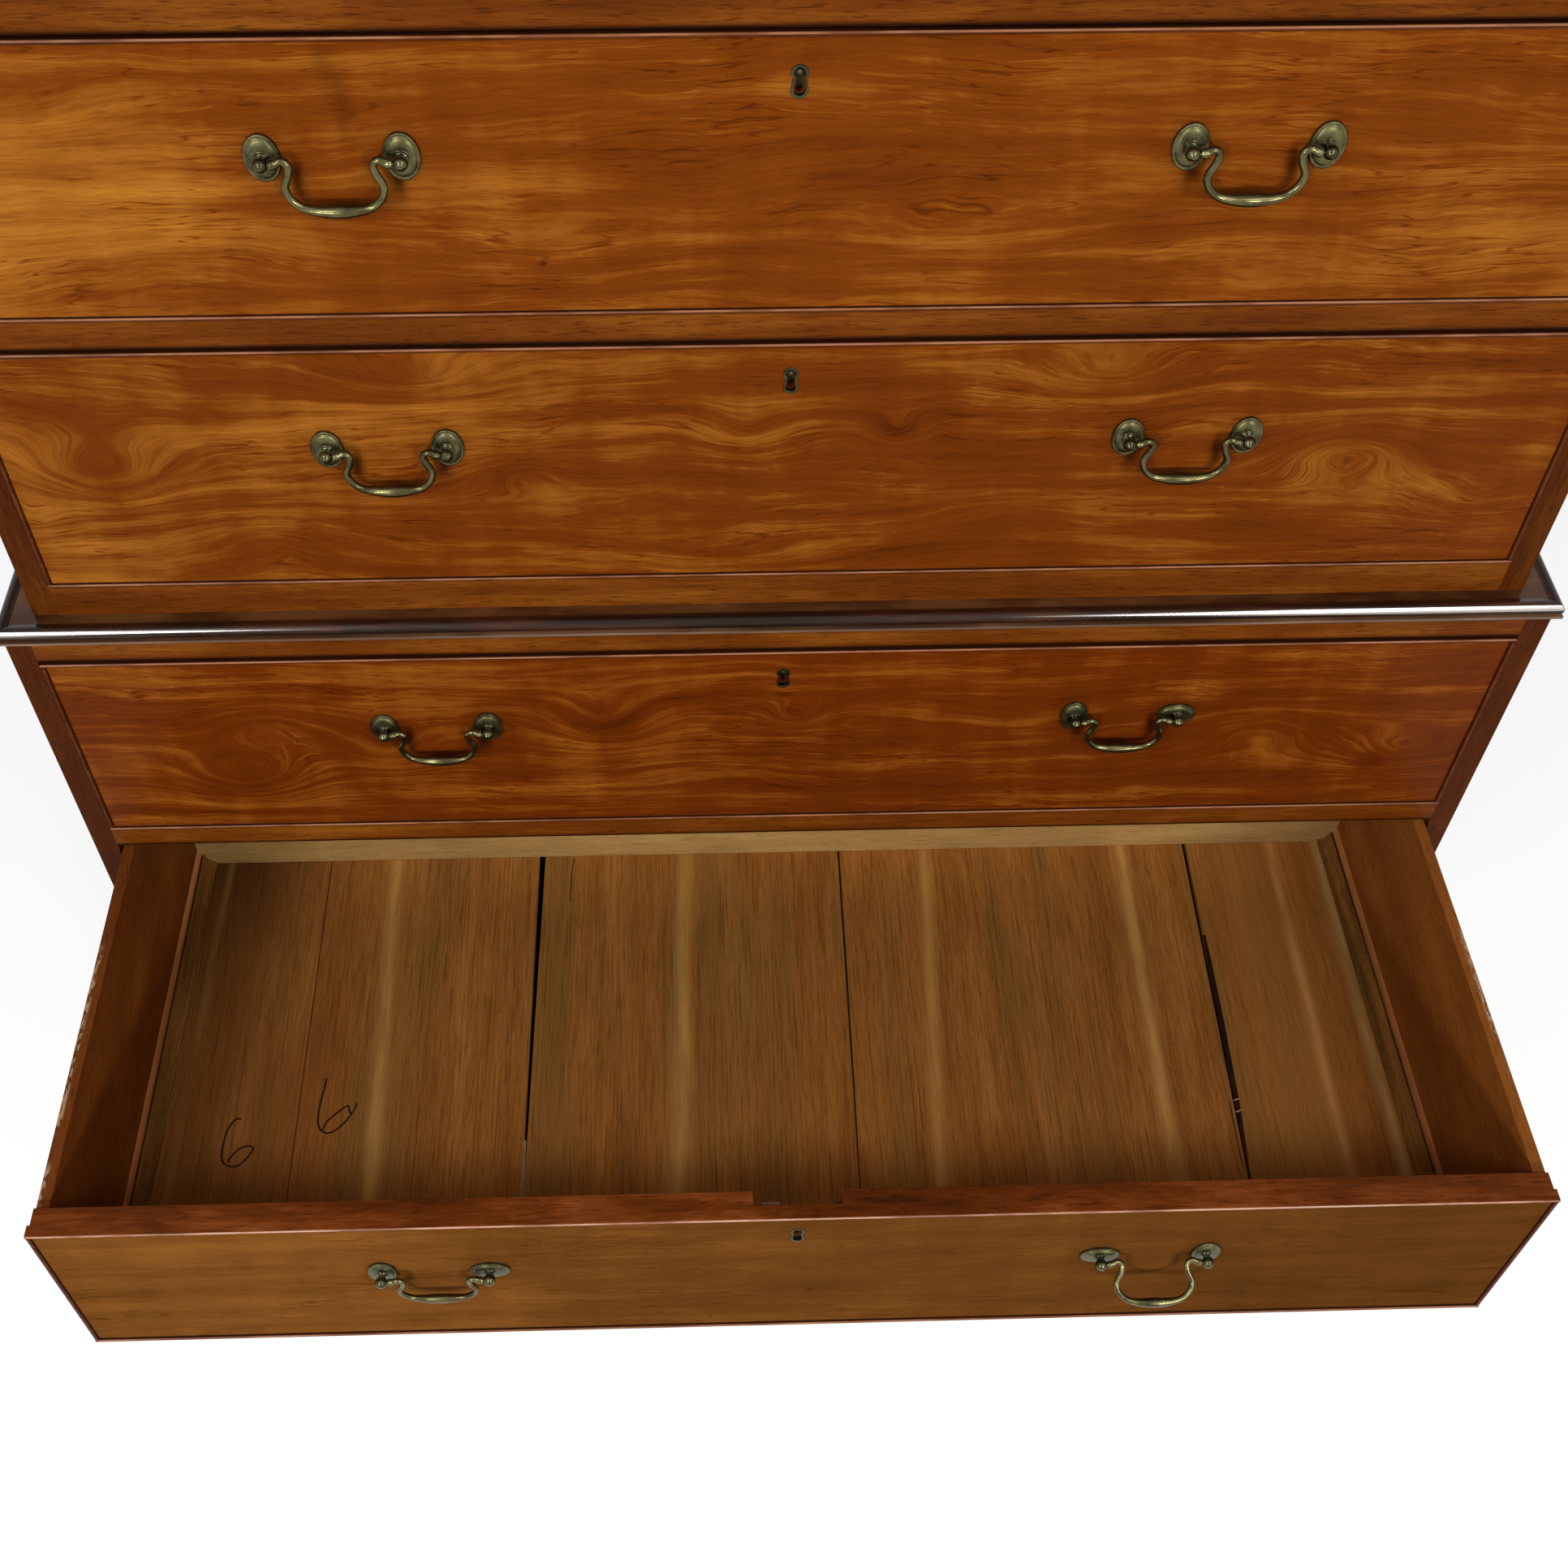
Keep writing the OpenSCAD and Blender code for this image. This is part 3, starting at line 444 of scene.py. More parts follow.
class LongLine(Effect):
    """A soft line that runs from the front of a board to its back, a little out of square."""

    title = "Long line"
    takes = {"Point": Kind.VECTOR, "Front": Kind.VECTOR, "Back": Kind.VECTOR, "Width": Kind.NUMBER}
    gives = {"Mask": Kind.NUMBER}

    @classmethod
    def lay(cls, tree: Tree, given: dict[str, Socket]) -> dict[str, Socket]:
        """A bell curve across the line between the two points."""
        x, y, _ = tree.parts(given["Point"])
        front_x, front_y, _ = tree.parts(given["Front"])
        back_x, back_y, _ = tree.parts(given["Back"])
        share = tree.math("DIVIDE", tree.minus(y, front_y), tree.minus(back_y, front_y))
        middle = tree.fused(share, tree.minus(back_x, front_x), front_x)
        off = tree.math("DIVIDE", tree.minus(x, middle), given["Width"])
        return {"Mask": tree.bell(tree.times(off, off))}


# Finishes


class Grain(Enum):
    """Which way a board's grain runs, as the order of its along, across and through axes."""

    SIDEWAYS = (0, 2, 1)
    UPRIGHT = (2, 0, 1)
    INWARDS = (1, 0, 2)


@dataclass(frozen=True)
class Spot:
    """A soft oval place, in mm: where it is along and across, its reach both ways and its amount."""

    along: float
    across: float
    reach_along: float
    reach_across: float
    amount: float

    def field(self, tree: Tree, point: Socket) -> Socket:
        """The spot's field over a point."""
        return SoftSpot.use(tree, point=point, centre=(self.along, self.across, 0.0),
                            reach=(self.reach_along, self.reach_across, 1e6),
                            amount=self.amount)["Field"]


def with_spots(tree: Tree, flat: Socket, start: object, spots: tuple[Spot, ...]) -> object:
    """Adds spots to a value.

    Args:
        tree: the material's tree.
        flat: the place in mm, along and across.
        start: the value, a socket or a number.
        spots: what is added.

    Returns:
        The sum.
    """
    return tree.total([start] + [spot.field(tree, flat) for spot in spots])


@dataclass(frozen=True)
class Finish:
    """A finish that is built as a material at its first use."""

    name: str

    def shader(self, tree: Tree, point: Socket) -> bpy.types.Node:
        """Lays the finish's nodes.

        Args:
            tree: the material's tree.
            point: the place in mm, as X, Y and Z.

        Returns:
            The shader.
        """
        raise NotImplementedError

    def material(self) -> Material:
        """The finish as a material."""
        made = bpy.data.materials.get(self.name)
        if made is None:
            made = bpy.data.materials.new(self.name)
            made.use_nodes = True
            made.node_tree.nodes.clear()
            tree = Tree(made.node_tree)
            place = tree.node("ShaderNodeTexCoord").outputs["Object"]
            shader = self.shader(tree, tree.scaled(place, (1 / MM,) * 3))
            surface = tree.node("ShaderNodeOutputMaterial").inputs["Surface"]
            tree.links.new(shader.outputs[0], surface)
        return made


@dataclass(frozen=True)
class Wood(Finish):
    """A wood and how it is polished.

    The swells bend the grain, in mm. The glows lighten the tone, partly as painted light, and the
    stains darken it, partly as painted shade, as shares. Sizes and radii are in mm.
    """

    grain: Grain
    dark: Colour
    middle: Colour
    light: Colour
    band: float = 16.0
    contrast: float = 1.0
    sweep: float = 30.0
    ripple: float = 4.0
    fibre: float = 0.6
    veins: float = 0.0
    pores: float = 0.5
    cloud: float = 0.25
    cloud_size: Row = (70.0, 70.0, 70.0)
    shimmer: float = 0.0
    shimmer_size: Row = (30.0, 160.0, 80.0)
    rough: float = 0.36
    cloud_rough: float = 0.18
    relief_rough: float = -0.12
    gloss: float = 0.08
    gloss_tint: Colour = shade(1.0, 1.0, 1.0)
    wear: float = 0.25
    wear_radius: float = 0.8
    wear_size: float = 14.0
    wear_colour: Colour = shade(0.3, 0.12, 0.03)
    wax_index: float = 1.5
    wax_rough: float = 0.1
    stain_tint: Row = (0.3, 0.3, 0.35)
    relief: float = 0.05
    seed: float = 0.0
    swells: tuple[Spot, ...] = ()
    glows: tuple[Spot, ...] = ()
    stains: tuple[Spot, ...] = ()

    def board(self, name: str, seed: float, **changes: object) -> Material:
        """Another board of this wood.

        Args:
            name: its material's name.
            seed: where its pattern starts.
            **changes: what else is different.

        Returns:
            Its material.
        """
        return replace(self, name=name, seed=seed, **changes).material()

    def paint(self, tree: Tree, point: Socket, colour: Socket) -> Socket:
        """Adds what only one kind of board has; a plain one has nothing more.

        Args:
            tree: the material's tree.
            point: the place in mm, as X, Y and Z.
            colour: the wood's colour so far.

        Returns:
            The colour to show.
        """
        return colour

    def wax_and_highlight(self, tree: Tree, point: Socket) -> object:
        """How much of a thick coat of wax shows, which on the waist also marks where a highlight is
        painted; most boards have none.

        Args:
            tree: the material's tree.
            point: the place in mm, as X, Y and Z.

        Returns:
            A number or a socket.
        """
        return 0.0

    def cloudy(self, tree: Tree, lying: Socket, size: Row, step: float = 0.0) -> Socket:
        """Cloudy patches about 0.

        Args:
            tree: the material's tree.
            lying: the place in mm, along, across and through.
            size: the patches' size.
            step: what keeps them apart from others.

        Returns:
            The patches' socket.
        """
        return tree.minus(Mottle.use(tree, point=lying, size=size, seed=self.seed + step)["Mask"], 0.5)

    def worn(self, tree: Tree, point: Socket, mask: Socket) -> Socket:
        """How much of each sharp corner is rubbed pale, in patches.

        Args:
            tree: the material's tree.
            point: the place in mm.
            mask: where the corners are.

        Returns:
            The share of wear.
        """
        patchy = Mottle.use(tree, point=point, size=(self.wear_size,) * 3,
                            seed=self.seed + 2.0)["Mask"]
        return tree.times(tree.times(mask, tree.span(patchy, 0.35, 0.7)), self.wear)

    def shader(self, tree: Tree, point: Socket) -> bpy.types.Node:
        """The figure, then stains and painted shade, then paint, then wear and polish."""
        axes = tree.parts(point)
        along, across, through = (axes[k] for k in self.grain.value)
        lying, flat = tree.point(along, across, through), tree.point(along, across, 0.0)
        height = GrainField.use(tree, point=lying, sweep=self.sweep, ripple=self.ripple,
                                seed=self.seed)["Height"]
        height = with_spots(tree, flat, height, self.swells)
        clouds = self.cloudy(tree, lying, self.cloud_size)
        lift = tree.times(clouds, self.cloud * 2)
        if self.shimmer:
            lift = tree.fused(self.cloudy(tree, lying, self.shimmer_size, 7.0), self.shimmer * 2, lift)
        lift = with_spots(tree, flat, lift, self.glows)
        tone = WoodTone.use(tree, along=along, height=height, through=through, seed=self.seed,
                            band=self.band, contrast=self.contrast, fibre=self.fibre,
                            veins=self.veins, lift=lift, pores=self.pores, dark=self.dark,
                            middle=self.middle, light=self.light)
        colour = tone["Colour"]
        if self.stains:
            stain_and_shade = tree.held(with_spots(tree, flat, 0.0, self.stains))
            colour = tree.mix(stain_and_shade, colour, tree.scaled(self.dark, self.stain_tint))
        colour = self.paint(tree, point, colour)
        edge = WornEdge.use(tree, radius=self.wear_radius * MM)
        colour = tree.mix(self.worn(tree, point, edge["Mask"]), colour, self.wear_colour)
        rough = tree.fused(clouds, self.cloud_rough,
                           tree.fused(tone["Relief"], self.relief_rough, self.rough))
        normal = tree.node("ShaderNodeBump", Strength=1.0, Distance=self.relief * MM,
                           Height=tone["Relief"], Normal=edge["Normal"]).outputs[0]
        return tree.node("ShaderNodeBsdfPrincipled", Base_Color=colour, Roughness=rough,
                         Normal=normal, Specular_IOR_Level=self.gloss,
                         Specular_Tint=self.gloss_tint, Coat_Weight=self.wax_and_highlight(tree, point),
                         Coat_Roughness=self.wax_rough, Coat_IOR=self.wax_index)


@dataclass(frozen=True)
class FloorLine:
    """One soft line on a drawer's floor: where it is at the front and at the back, in mm."""

    front: Pair
    back: Pair
    width: float
    strength: float
    colour: Colour


@dataclass(frozen=True)
class FloorWood(Wood):
    """The open drawer's bottom boards, with their sapwood streaks, dirt, old knocks and painted shade
    near the front board, along the left side and in the back-left corner.
    """

    lines: tuple[FloorLine, ...] = ()
    # Soft patches of colour, some of them painted shade
    patches: tuple[tuple[Spot, Colour], ...] = ()
    olive: Colour = shade(0.25, 0.13, 0.030)
    olive_size: Row = (46.0, 700.0, 90.0)
    olive_share: float = 0.55
    hair_rates: Row = (1.0, 0.014, 0.9)
    hair_tint: Row = (0.42, 0.36, 0.32)
    hair_share: float = 0.6

    def paint(self, tree: Tree, point: Socket, colour: Socket) -> Socket:
        """Lays olive zones, fine dark fibres, the soft patches, some of them painted shade, and the
        lines over the boards.
        """
        x, y, _ = tree.parts(point)
        flat = tree.point(y, x, 0.0)
        zones = tree.noise(tree.vector("DIVIDE", point, self.olive_size), 2.0)
        colour = tree.mix(tree.span(zones, 0.42, 0.62, 0.0, self.olive_share), colour, self.olive)
        hairs = tree.noise(tree.scaled(point, self.hair_rates), 2.0, 0.7)
        colour = tree.mix(tree.span(hairs, 0.5, 0.64, 0.0, self.hair_share), colour,
                          tree.scaled(colour, self.hair_tint))
        for spot, tint in self.patches:
            colour = tree.mix(tree.held(spot.field(tree, flat)), colour, tint)
        uneven = Mottle.use(tree, point=point, size=(9.0, 90.0, 9.0), seed=4.0)["Mask"]
        for line in self.lines:
            mask = LongLine.use(tree, point=point, front=(*line.front, 0.0),
                                back=(*line.back, 0.0), width=line.width)["Mask"]
            broken = tree.span(uneven, 0.2, 0.75, 0.25 * line.strength, line.strength)
            colour = tree.mix(tree.times(mask, broken), colour, line.colour)
        return colour


@dataclass(frozen=True)
class SideWood(Wood):
    """A drawer side's wood, with a few pale worn flecks along the outer corner of its top edge.

    A place has the middle of its side in X and where the flecks start and end, from the front.
    """

    edge_level: float = 565.5
    edge_half: float = 534.0
    places: tuple[Row, ...] = ()
    side_reach: float = 40.0
    fade: float = 6.0
    fleck: Colour = shade(0.56, 0.38, 0.23)
    fleck_share: float = 0.7

    def paint(self, tree: Tree, point: Socket, colour: Socket) -> Socket:
        """Scatters the flecks at the corner, in the given stretches from front to back."""
        x, y, z = tree.parts(point)
        level = tree.span(z, self.edge_level - 1.6, self.edge_level - 0.6)
        near = tree.times(level, tree.span(tree.math("ABSOLUTE", x), self.edge_half - 4.2,
                                           self.edge_half - 2.4))
        broken = tree.noise(tree.scaled(point, (0.5, 0.12, 0.5)), 3.0, 0.75)
        flecks = tree.times(tree.span(broken, 0.47, 0.53), near)
        here: object = 0.0
        for middle, front, back in self.places:
            beside = tree.math("COMPARE", x, middle, self.side_reach)
            inside = tree.times(tree.span(y, front - self.fade, front + self.fade),
                                tree.span(y, back - self.fade, back + self.fade, 1.0, 0.0))
            here = tree.total([here, tree.times(beside, inside)])
        share = tree.math("MULTIPLY", flecks, here, clamp=True)
        return tree.mix(tree.times(share, self.fleck_share), colour, self.fleck)


@dataclass(frozen=True)
class FilletWood(Wood):
    """A corner fillet's wood, with a thin light line where it meets the drawer side."""

    line_half: float = 522.2
    line_fade: float = 0.8
    line_colour: Colour = shade(0.52, 0.20, 0.065)

    def paint(self, tree: Tree, point: Socket, colour: Socket) -> Socket:
        """Draws the line along the fillet's upper corner."""
        x, _, _ = tree.parts(point)
        uneven = tree.noise(tree.scaled(point, (0.1, 0.02, 0.1)), 2.0)
        line = tree.span(tree.math("ABSOLUTE", x), self.line_half, self.line_half + self.line_fade)
        share = tree.times(line, tree.span(uneven, 0.3, 0.6, 0.6, 0.95))
        return tree.mix(share, colour, self.line_colour)


@dataclass(frozen=True)
class BeadWood(Wood):
    """A cockbead's wood: a thin pale arris, partly rubbed and partly a painted highlight, and painted
    shade on the faces hidden in the gap to the case.
    """

    # Pale arris, partly wear and partly painted highlight; near-black painted shade on the hidden
    # faces
    arris_wear_and_sheen: Colour = shade(0.46, 0.21, 0.11)
    arris_wear_and_sheen_share: float = 0.7
    gap_shade: Colour = shade(0.030, 0.008, 0.003)
    gap_shade_share: float = 0.95

    def paint(self, tree: Tree, point: Socket, colour: Socket) -> Socket:
        """Tells the arris and the hidden sides by which way they face: the arris is painted pale, the
        hidden sides dark as shade.
        """
        across, _, up = tree.facing()
        # Faces hidden in the gap to the case: painted shade
        hidden = tree.math("MAXIMUM", tree.span(up, 0.9, 0.97),
                           tree.span(tree.math("ABSOLUTE", across), 0.9, 0.97))
        colour = tree.mix(tree.times(hidden, self.gap_shade_share), colour, self.gap_shade)
        uneven = tree.noise(tree.scaled(point, (0.02, 0.1, 0.02)), 3.0, 0.6)
        # Upper front of the rounded bead: a pale arris, partly wear and partly painted highlight
        arris_wear_and_sheen = tree.times(tree.span(up, 0.12, 0.3), tree.span(up, 0.92, 0.8))
        share = self.arris_wear_and_sheen_share
        arris_wear_and_sheen = tree.times(arris_wear_and_sheen, tree.span(uneven, 0.36, 0.6, 0.35 * share, share))
        return tree.mix(arris_wear_and_sheen, colour, self.arris_wear_and_sheen)


@dataclass(frozen=True)
class CrackShadeWood(Wood):
    """A strip under a crack: painted near-black behind a given place, as the shade in the gap, and
    brown toward the front.
    """

    shade_from: float = -260.0
    far: Colour = shade(0.006, 0.004, 0.003)
    near: Colour = shade(0.16, 0.09, 0.045)
    pale: Colour = shade(0.34, 0.24, 0.15)

    def paint(self, tree: Tree, point: Socket, colour: Socket) -> Socket:
        """Paints the strip near-black behind the given place, as shade."""
        _, y, _ = tree.parts(point)
        uneven = tree.noise(tree.scaled(point, (0.05, 0.03, 0.05)), 2.0)
        # Painted shade: near-black behind the given place
        share = tree.span(y, self.shade_from - 6.0, self.shade_from + 3.0)
        seen = tree.mix(tree.span(uneven, 0.45, 0.6, 0.0, 0.5), self.near, self.pale)
        return tree.mix(share, seen, self.far)


@dataclass(frozen=True)
class StileWood(Wood):
    """A case side's wood, darker on its front edge."""

    face: float = 0.0
    edge_tint: Row = (0.47, 0.42, 0.40)

    def paint(self, tree: Tree, point: Socket, colour: Socket) -> Socket:
        """Darkens the front edge."""
        _, y, _ = tree.parts(point)
        return tree.mix(tree.span(y, self.face + 4.0, self.face + 0.6), colour,
                        tree.scaled(colour, self.edge_tint))


@dataclass(frozen=True)
class WaistWood(Wood):
    """The waist moulding's wood: nearly black on the nose, brown on top, with a painted highlight in a
    waxed band along the nose and a pale painted highlight on the fillet.
    """

    low: float = 805.0
    fillet: float = 2.2
    nose_top: float = 816.2
    top: Colour = shade(0.135, 0.052, 0.016)
    top_tint: Row = (0.35, 0.3, 0.3)
    # Pale painted highlight along the fillet
    fillet_highlight: Colour = shade(0.36, 0.22, 0.145)
    # Painted highlight colour in the waxed band
    painted_highlight: Colour = shade(0.30, 0.225, 0.165)
    front: float = -77.04
    nose_level: float = 812.1
    nose_radius: float = 4.9
    # Where the waxed band with its painted highlight runs and tapers
    waxed_left: Pair = (-600.0, -300.0)
    waxed_right: Pair = (130.0, 380.0)
    waxed_middle: float = 3.2
    waxed_half: float = 1.35

    def wax_and_highlight(self, tree: Tree, point: Socket) -> object:
        """A thick coat along the nose's upper front, which tapers inwards from both ends; the same
        band gets a painted highlight.
        """
        x, y, z = tree.parts(point)
        out = tree.minus(self.front + self.nose_radius, y)
        thin = tree.math("MINIMUM", tree.span(x, *self.waxed_left, smooth=False),
                         tree.span(x, *self.waxed_right, 1.0, 0.0, smooth=False))
        off = tree.math("ABSOLUTE", tree.minus(out, self.waxed_middle))
        inside = tree.minus(tree.fused(thin, -self.waxed_half, self.waxed_half), off)
        return tree.times(tree.span(inside, 0.0, 0.8),
                          tree.span(z, self.nose_level, self.nose_level + 0.4))

    def paint(self, tree: Tree, point: Socket, colour: Socket) -> Socket:
        """Colours the flat top, paints a highlight in the waxed band and paints a pale highlight on
        the fillet.
        """
        _, _, z = tree.parts(point)
        _, _, up = tree.facing()
        uneven = Mottle.use(tree, point=point, size=(110.0, 46.0, 3.0), seed=6.0)["Mask"]
        flat = tree.times(tree.span(up, 0.94, 0.98), tree.span(z, self.nose_top + 0.1, self.nose_top))
        brown = tree.mix(tree.span(uneven, 0.4, 0.65), self.top,
                         tree.scaled(self.top, self.top_tint))
        colour = tree.mix(flat, colour, brown)
        # Painted highlight in the waxed band
        colour = tree.mix(self.wax_and_highlight(tree, point), colour, self.painted_highlight)
        # Pale painted highlight along the fillet
        edge = self.low + self.fillet
        fillet = tree.times(tree.span(z, edge + 0.2, edge - 0.3),
                            tree.span(uneven, 0.3, 0.55, 0.95, 0.35))
        return tree.mix(fillet, colour, self.fillet_highlight)


@dataclass(frozen=True)
class Brass(Finish):
    """Old cast brass: rubbed bright on what stands out, with dark, greenish patches of patina.

    An edge radius of 0 is smooth, with neither worn edges nor grime. Sizes are in mm.
    """

    dark: Colour = shade(0.045, 0.042, 0.018)
    middle: Colour = shade(0.12, 0.108, 0.045)
    rubbed: Colour = shade(0.34, 0.30, 0.16)
    rough: float = 0.36
    metallic: float = 0.92
    edge_radius: float = 0.35
    patina: float = 7.0
    grime: float = 1.6
    grime_rough: float = 0.16
    clean_rough: float = -0.06
    bump: float = 0.2
    bump_depth: float = 0.1

    def shader(self, tree: Tree, point: Socket) -> bpy.types.Node:
        """Patches of patina, with grime and rubbed edges where the brass isn't smooth."""
        patina = Mottle.use(tree, point=point, size=(self.patina,) * 3, seed=1.0)["Mask"]
        colour = tree.mix(tree.span(patina, 0.35, 0.68), self.middle, self.dark)
        rough = self.rough
        shader = tree.node("ShaderNodeBsdfPrincipled", Metallic=self.metallic)
        if self.edge_radius:
            grime = Mottle.use(tree, point=point, size=(self.grime,) * 3, seed=5.0)["Mask"]
            edge = WornEdge.use(tree, radius=self.edge_radius * MM)
            rubbed = tree.times(edge["Mask"], tree.span(grime, 0.35, 0.65, 0.1, 0.5))
            colour = tree.mix(rubbed, colour, self.rubbed)
            rough = tree.fused(grime, self.grime_rough, self.rough + self.clean_rough)
            bump = tree.node("ShaderNodeBump", Strength=self.bump, Height=grime,
                             Distance=self.bump_depth * MM, Normal=edge["Normal"])
            tree.put(shader.inputs["Normal"], bump.outputs[0])
        tree.put(shader.inputs["Base Color"], colour)
        tree.put(shader.inputs["Roughness"], rough)
        return shader


@dataclass(frozen=True)
class Mark(Finish):
    """A thin line drawn, scratched or cracked into a board: two shades, broken by the fibres."""

    first: Colour = shade(0.012, 0.005, 0.003)
    second: Colour = shade(0.05, 0.018, 0.007)
    rates: Row = (1.8, 0.16, 0.9)
    rough: float = 0.6
    gloss: float = 0.1

    def shader(self, tree: Tree, point: Socket) -> bpy.types.Node:
        """Mixes the two shades."""
        broken = tree.noise(tree.scaled(point, self.rates), 2.0)
        colour = tree.mix(tree.span(broken, 0.4, 0.62), self.first, self.second)
        return tree.node("ShaderNodeBsdfPrincipled", Base_Color=colour, Roughness=self.rough,
                         Specular_IOR_Level=self.gloss)


# The chest's woods and brasses


MAHOGANY = Wood(
    "polished_mahogany", Grain.SIDEWAYS, shade(0.070, 0.015, 0.0016),
    shade(0.150, 0.036, 0.0034), shade(0.28, 0.090, 0.010), band=22.0, sweep=10.0, ripple=2.0,
    contrast=0.6, rough=0.36, gloss=0.03)
SIDE_BOARD = StileWood(
    "side_board", Grain.UPRIGHT, MAHOGANY.dark, MAHOGANY.middle, MAHOGANY.light, band=34.0,
    sweep=26.0, ripple=4.0, contrast=0.6, veins=0.2, cloud=0.2, rough=0.38, gloss=0.03)
WAIST = WaistWood(
    "waist_front", Grain.SIDEWAYS, shade(0.007, 0.004, 0.003), shade(0.016, 0.008, 0.006),
    shade(0.10, 0.026, 0.010), band=9.0, sweep=3.0, ripple=1.0, fibre=0.3, cloud=0.4,
    cloud_size=(60.0, 14.0, 14.0), contrast=0.5, rough=0.22, gloss=0.25,
    gloss_tint=shade(1.0, 0.86, 0.74), wax_index=3.6, wax_rough=0.2, wear=0.15, wear_radius=0.4,
    wear_colour=shade(0.25, 0.15, 0.10), relief=0.03, seed=51.0)
COCKBEAD = BeadWood(
    "cockbead", Grain.SIDEWAYS, shade(0.030, 0.008, 0.002), shade(0.095, 0.021, 0.004),
    shade(0.18, 0.052, 0.012), band=22.0, sweep=10.0, ripple=2.0, contrast=0.6, cloud=0.35,
    cloud_size=(50.0, 14.0, 14.0), rough=0.3, gloss=0.06, wear=0.0, seed=81.0)
# The open drawer's top edge: a pale front arris, partly wear and partly a painted highlight
TOP_EDGE = replace(
    COCKBEAD, name="top_edge", middle=shade(0.130, 0.028, 0.004), light=shade(0.30, 0.080, 0.017),
    contrast=0.7, cloud=0.5, cloud_size=(60.0, 14.0, 14.0), rough=0.34, gloss=0.04, wear=0.6,
    wear_radius=0.9, wear_colour=shade(0.40, 0.15, 0.045), seed=83.0,
    arris_wear_and_sheen=shade(0.66, 0.40, 0.28), arris_wear_and_sheen_share=0.9, gap_shade_share=0.0)
DRAWER_SIDE = SideWood(
    "drawer_side_wood", Grain.INWARDS, shade(0.070, 0.016, 0.0025), shade(0.17, 0.046, 0.007),
    shade(0.30, 0.10, 0.018), band=26.0, sweep=8.0, ripple=2.0, contrast=0.5, pores=0.5, cloud=0.2,
    rough=0.45, gloss=0.05, wear=0.3, wear_colour=shade(0.3, 0.12, 0.04), seed=91.0,
    # Painted light: the right-hand sides are lighter, as lit from the left
    glows=(Spot(-180, 529, 1e5, 60, 0.34),),
    places=((534.0, -278.0, -182.0), (-534.0, -331.0, -169.0), (-534.0, -390.0, -360.0)))
FILLET = FilletWood(
    "fillet_wood", Grain.INWARDS, shade(0.045, 0.018, 0.004), shade(0.20, 0.085, 0.017),
    shade(0.38, 0.17, 0.04), band=9.0, sweep=4.0, ripple=1.0, contrast=0.8, rough=0.55, gloss=0.05,
    wear=0.0, seed=95.0)
BOTTOM_BOARDS = Wood(
    "brown_bottom_boards", Grain.INWARDS, shade(0.170, 0.054, 0.009), shade(0.37, 0.138, 0.026),
    shade(0.56, 0.25, 0.060), band=30.0, sweep=8.0, ripple=1.6, contrast=0.5, pores=0.7, cloud=0.1,
    cloud_size=(160.0, 22.0, 60.0), rough=0.62, gloss=0.05, wear=0.1, relief=0.12)
SAP = shade(0.62, 0.33, 0.090)
OPEN_FLOOR = FloorWood(
    "open_drawer_floor", Grain.INWARDS, BOTTOM_BOARDS.dark, BOTTOM_BOARDS.middle,
    BOTTOM_BOARDS.light, band=26.0, sweep=8.0, ripple=1.6, contrast=0.5, pores=0.35, cloud=0.1,
    cloud_size=(160.0, 22.0, 60.0), rough=0.62, gloss=0.05, wear=0.1, relief=0.12, seed=7.0,
    lines=(
        FloorLine((-334, -394), (-345, 37), 6.6, 0.9, SAP),
        FloorLine((-88, -394), (-79, 37), 7.4, 0.85, SAP),
        FloorLine((122, -394), (143, 37), 5.6, 0.8, SAP),
        FloorLine((316, -394), (325, 37), 6.4, 0.95, SAP),
        FloorLine((457, -394), (465, 37), 4.8, 0.95, shade(0.66, 0.31, 0.095)),
        FloorLine((503, -394), (509, 37), 5.6, 1.0, shade(0.60, 0.37, 0.13)),
        FloorLine((-519, -394), (-522, 37), 3.0, 0.4, SAP),
        FloorLine((-500, -394), (-497, 37), 4.0, 0.3, SAP)),
    patches=(
        # Partly a darker board and partly painted shade along the left side
        (Spot(-180, -470, 900, 66, 0.42), shade(0.14, 0.050, 0.012)),
        # Painted shade in the back-left corner, where the side and the case keep light out
        (Spot(60, -500, 110, 70, 0.75), shade(0.03, 0.012, 0.005)),
        (Spot(-240, -395, 110, 26, 0.5), shade(0.22, 0.066, 0.014)),
        # Painted shadow of the front board along the floor's front edge
        (Spot(-410, 0, 36, 1200, 0.55), shade(0.085, 0.030, 0.009)),
        (Spot(-120, 450, 900, 60, 0.35), shade(0.46, 0.18, 0.034))))
PALE = Wood(
    "pale_inner_wood", Grain.SIDEWAYS, shade(0.24, 0.13, 0.040), shade(0.38, 0.22, 0.072),
    shade(0.52, 0.34, 0.13), band=34.0, sweep=10.0, ripple=1.5, contrast=0.6, pores=0.35, rough=0.7,
    gloss=0.05, wear=0.1, wear_colour=shade(0.45, 0.3, 0.14), relief=0.1)
CRACK_SHADE = CrackShadeWood(
    "strip_wood", Grain.INWARDS, shade(0.01, 0.006, 0.004), shade(0.02, 0.01, 0.006),
    shade(0.04, 0.02, 0.01), gloss=0.0, wear=0.0)
SCRAP = replace(PALE, name="scrap_wood", dark=shade(0.16, 0.07, 0.05),
                middle=shade(0.26, 0.13, 0.09), light=shade(0.36, 0.2, 0.14), seed=97.0)
GREY_SCRAP = replace(SCRAP, name="grey_scrap_wood", dark=shade(0.07, 0.05, 0.035),
                     middle=shade(0.13, 0.095, 0.06), light=shade(0.2, 0.15, 0.1), seed=98.0)
ROSETTE_BRASS = Brass("rosette_brass")
POST_BRASS = Brass("post_brass", shade(0.034, 0.031, 0.014), shade(0.100, 0.089, 0.040),
                   rough=0.2, edge_radius=0.0, patina=14.0)
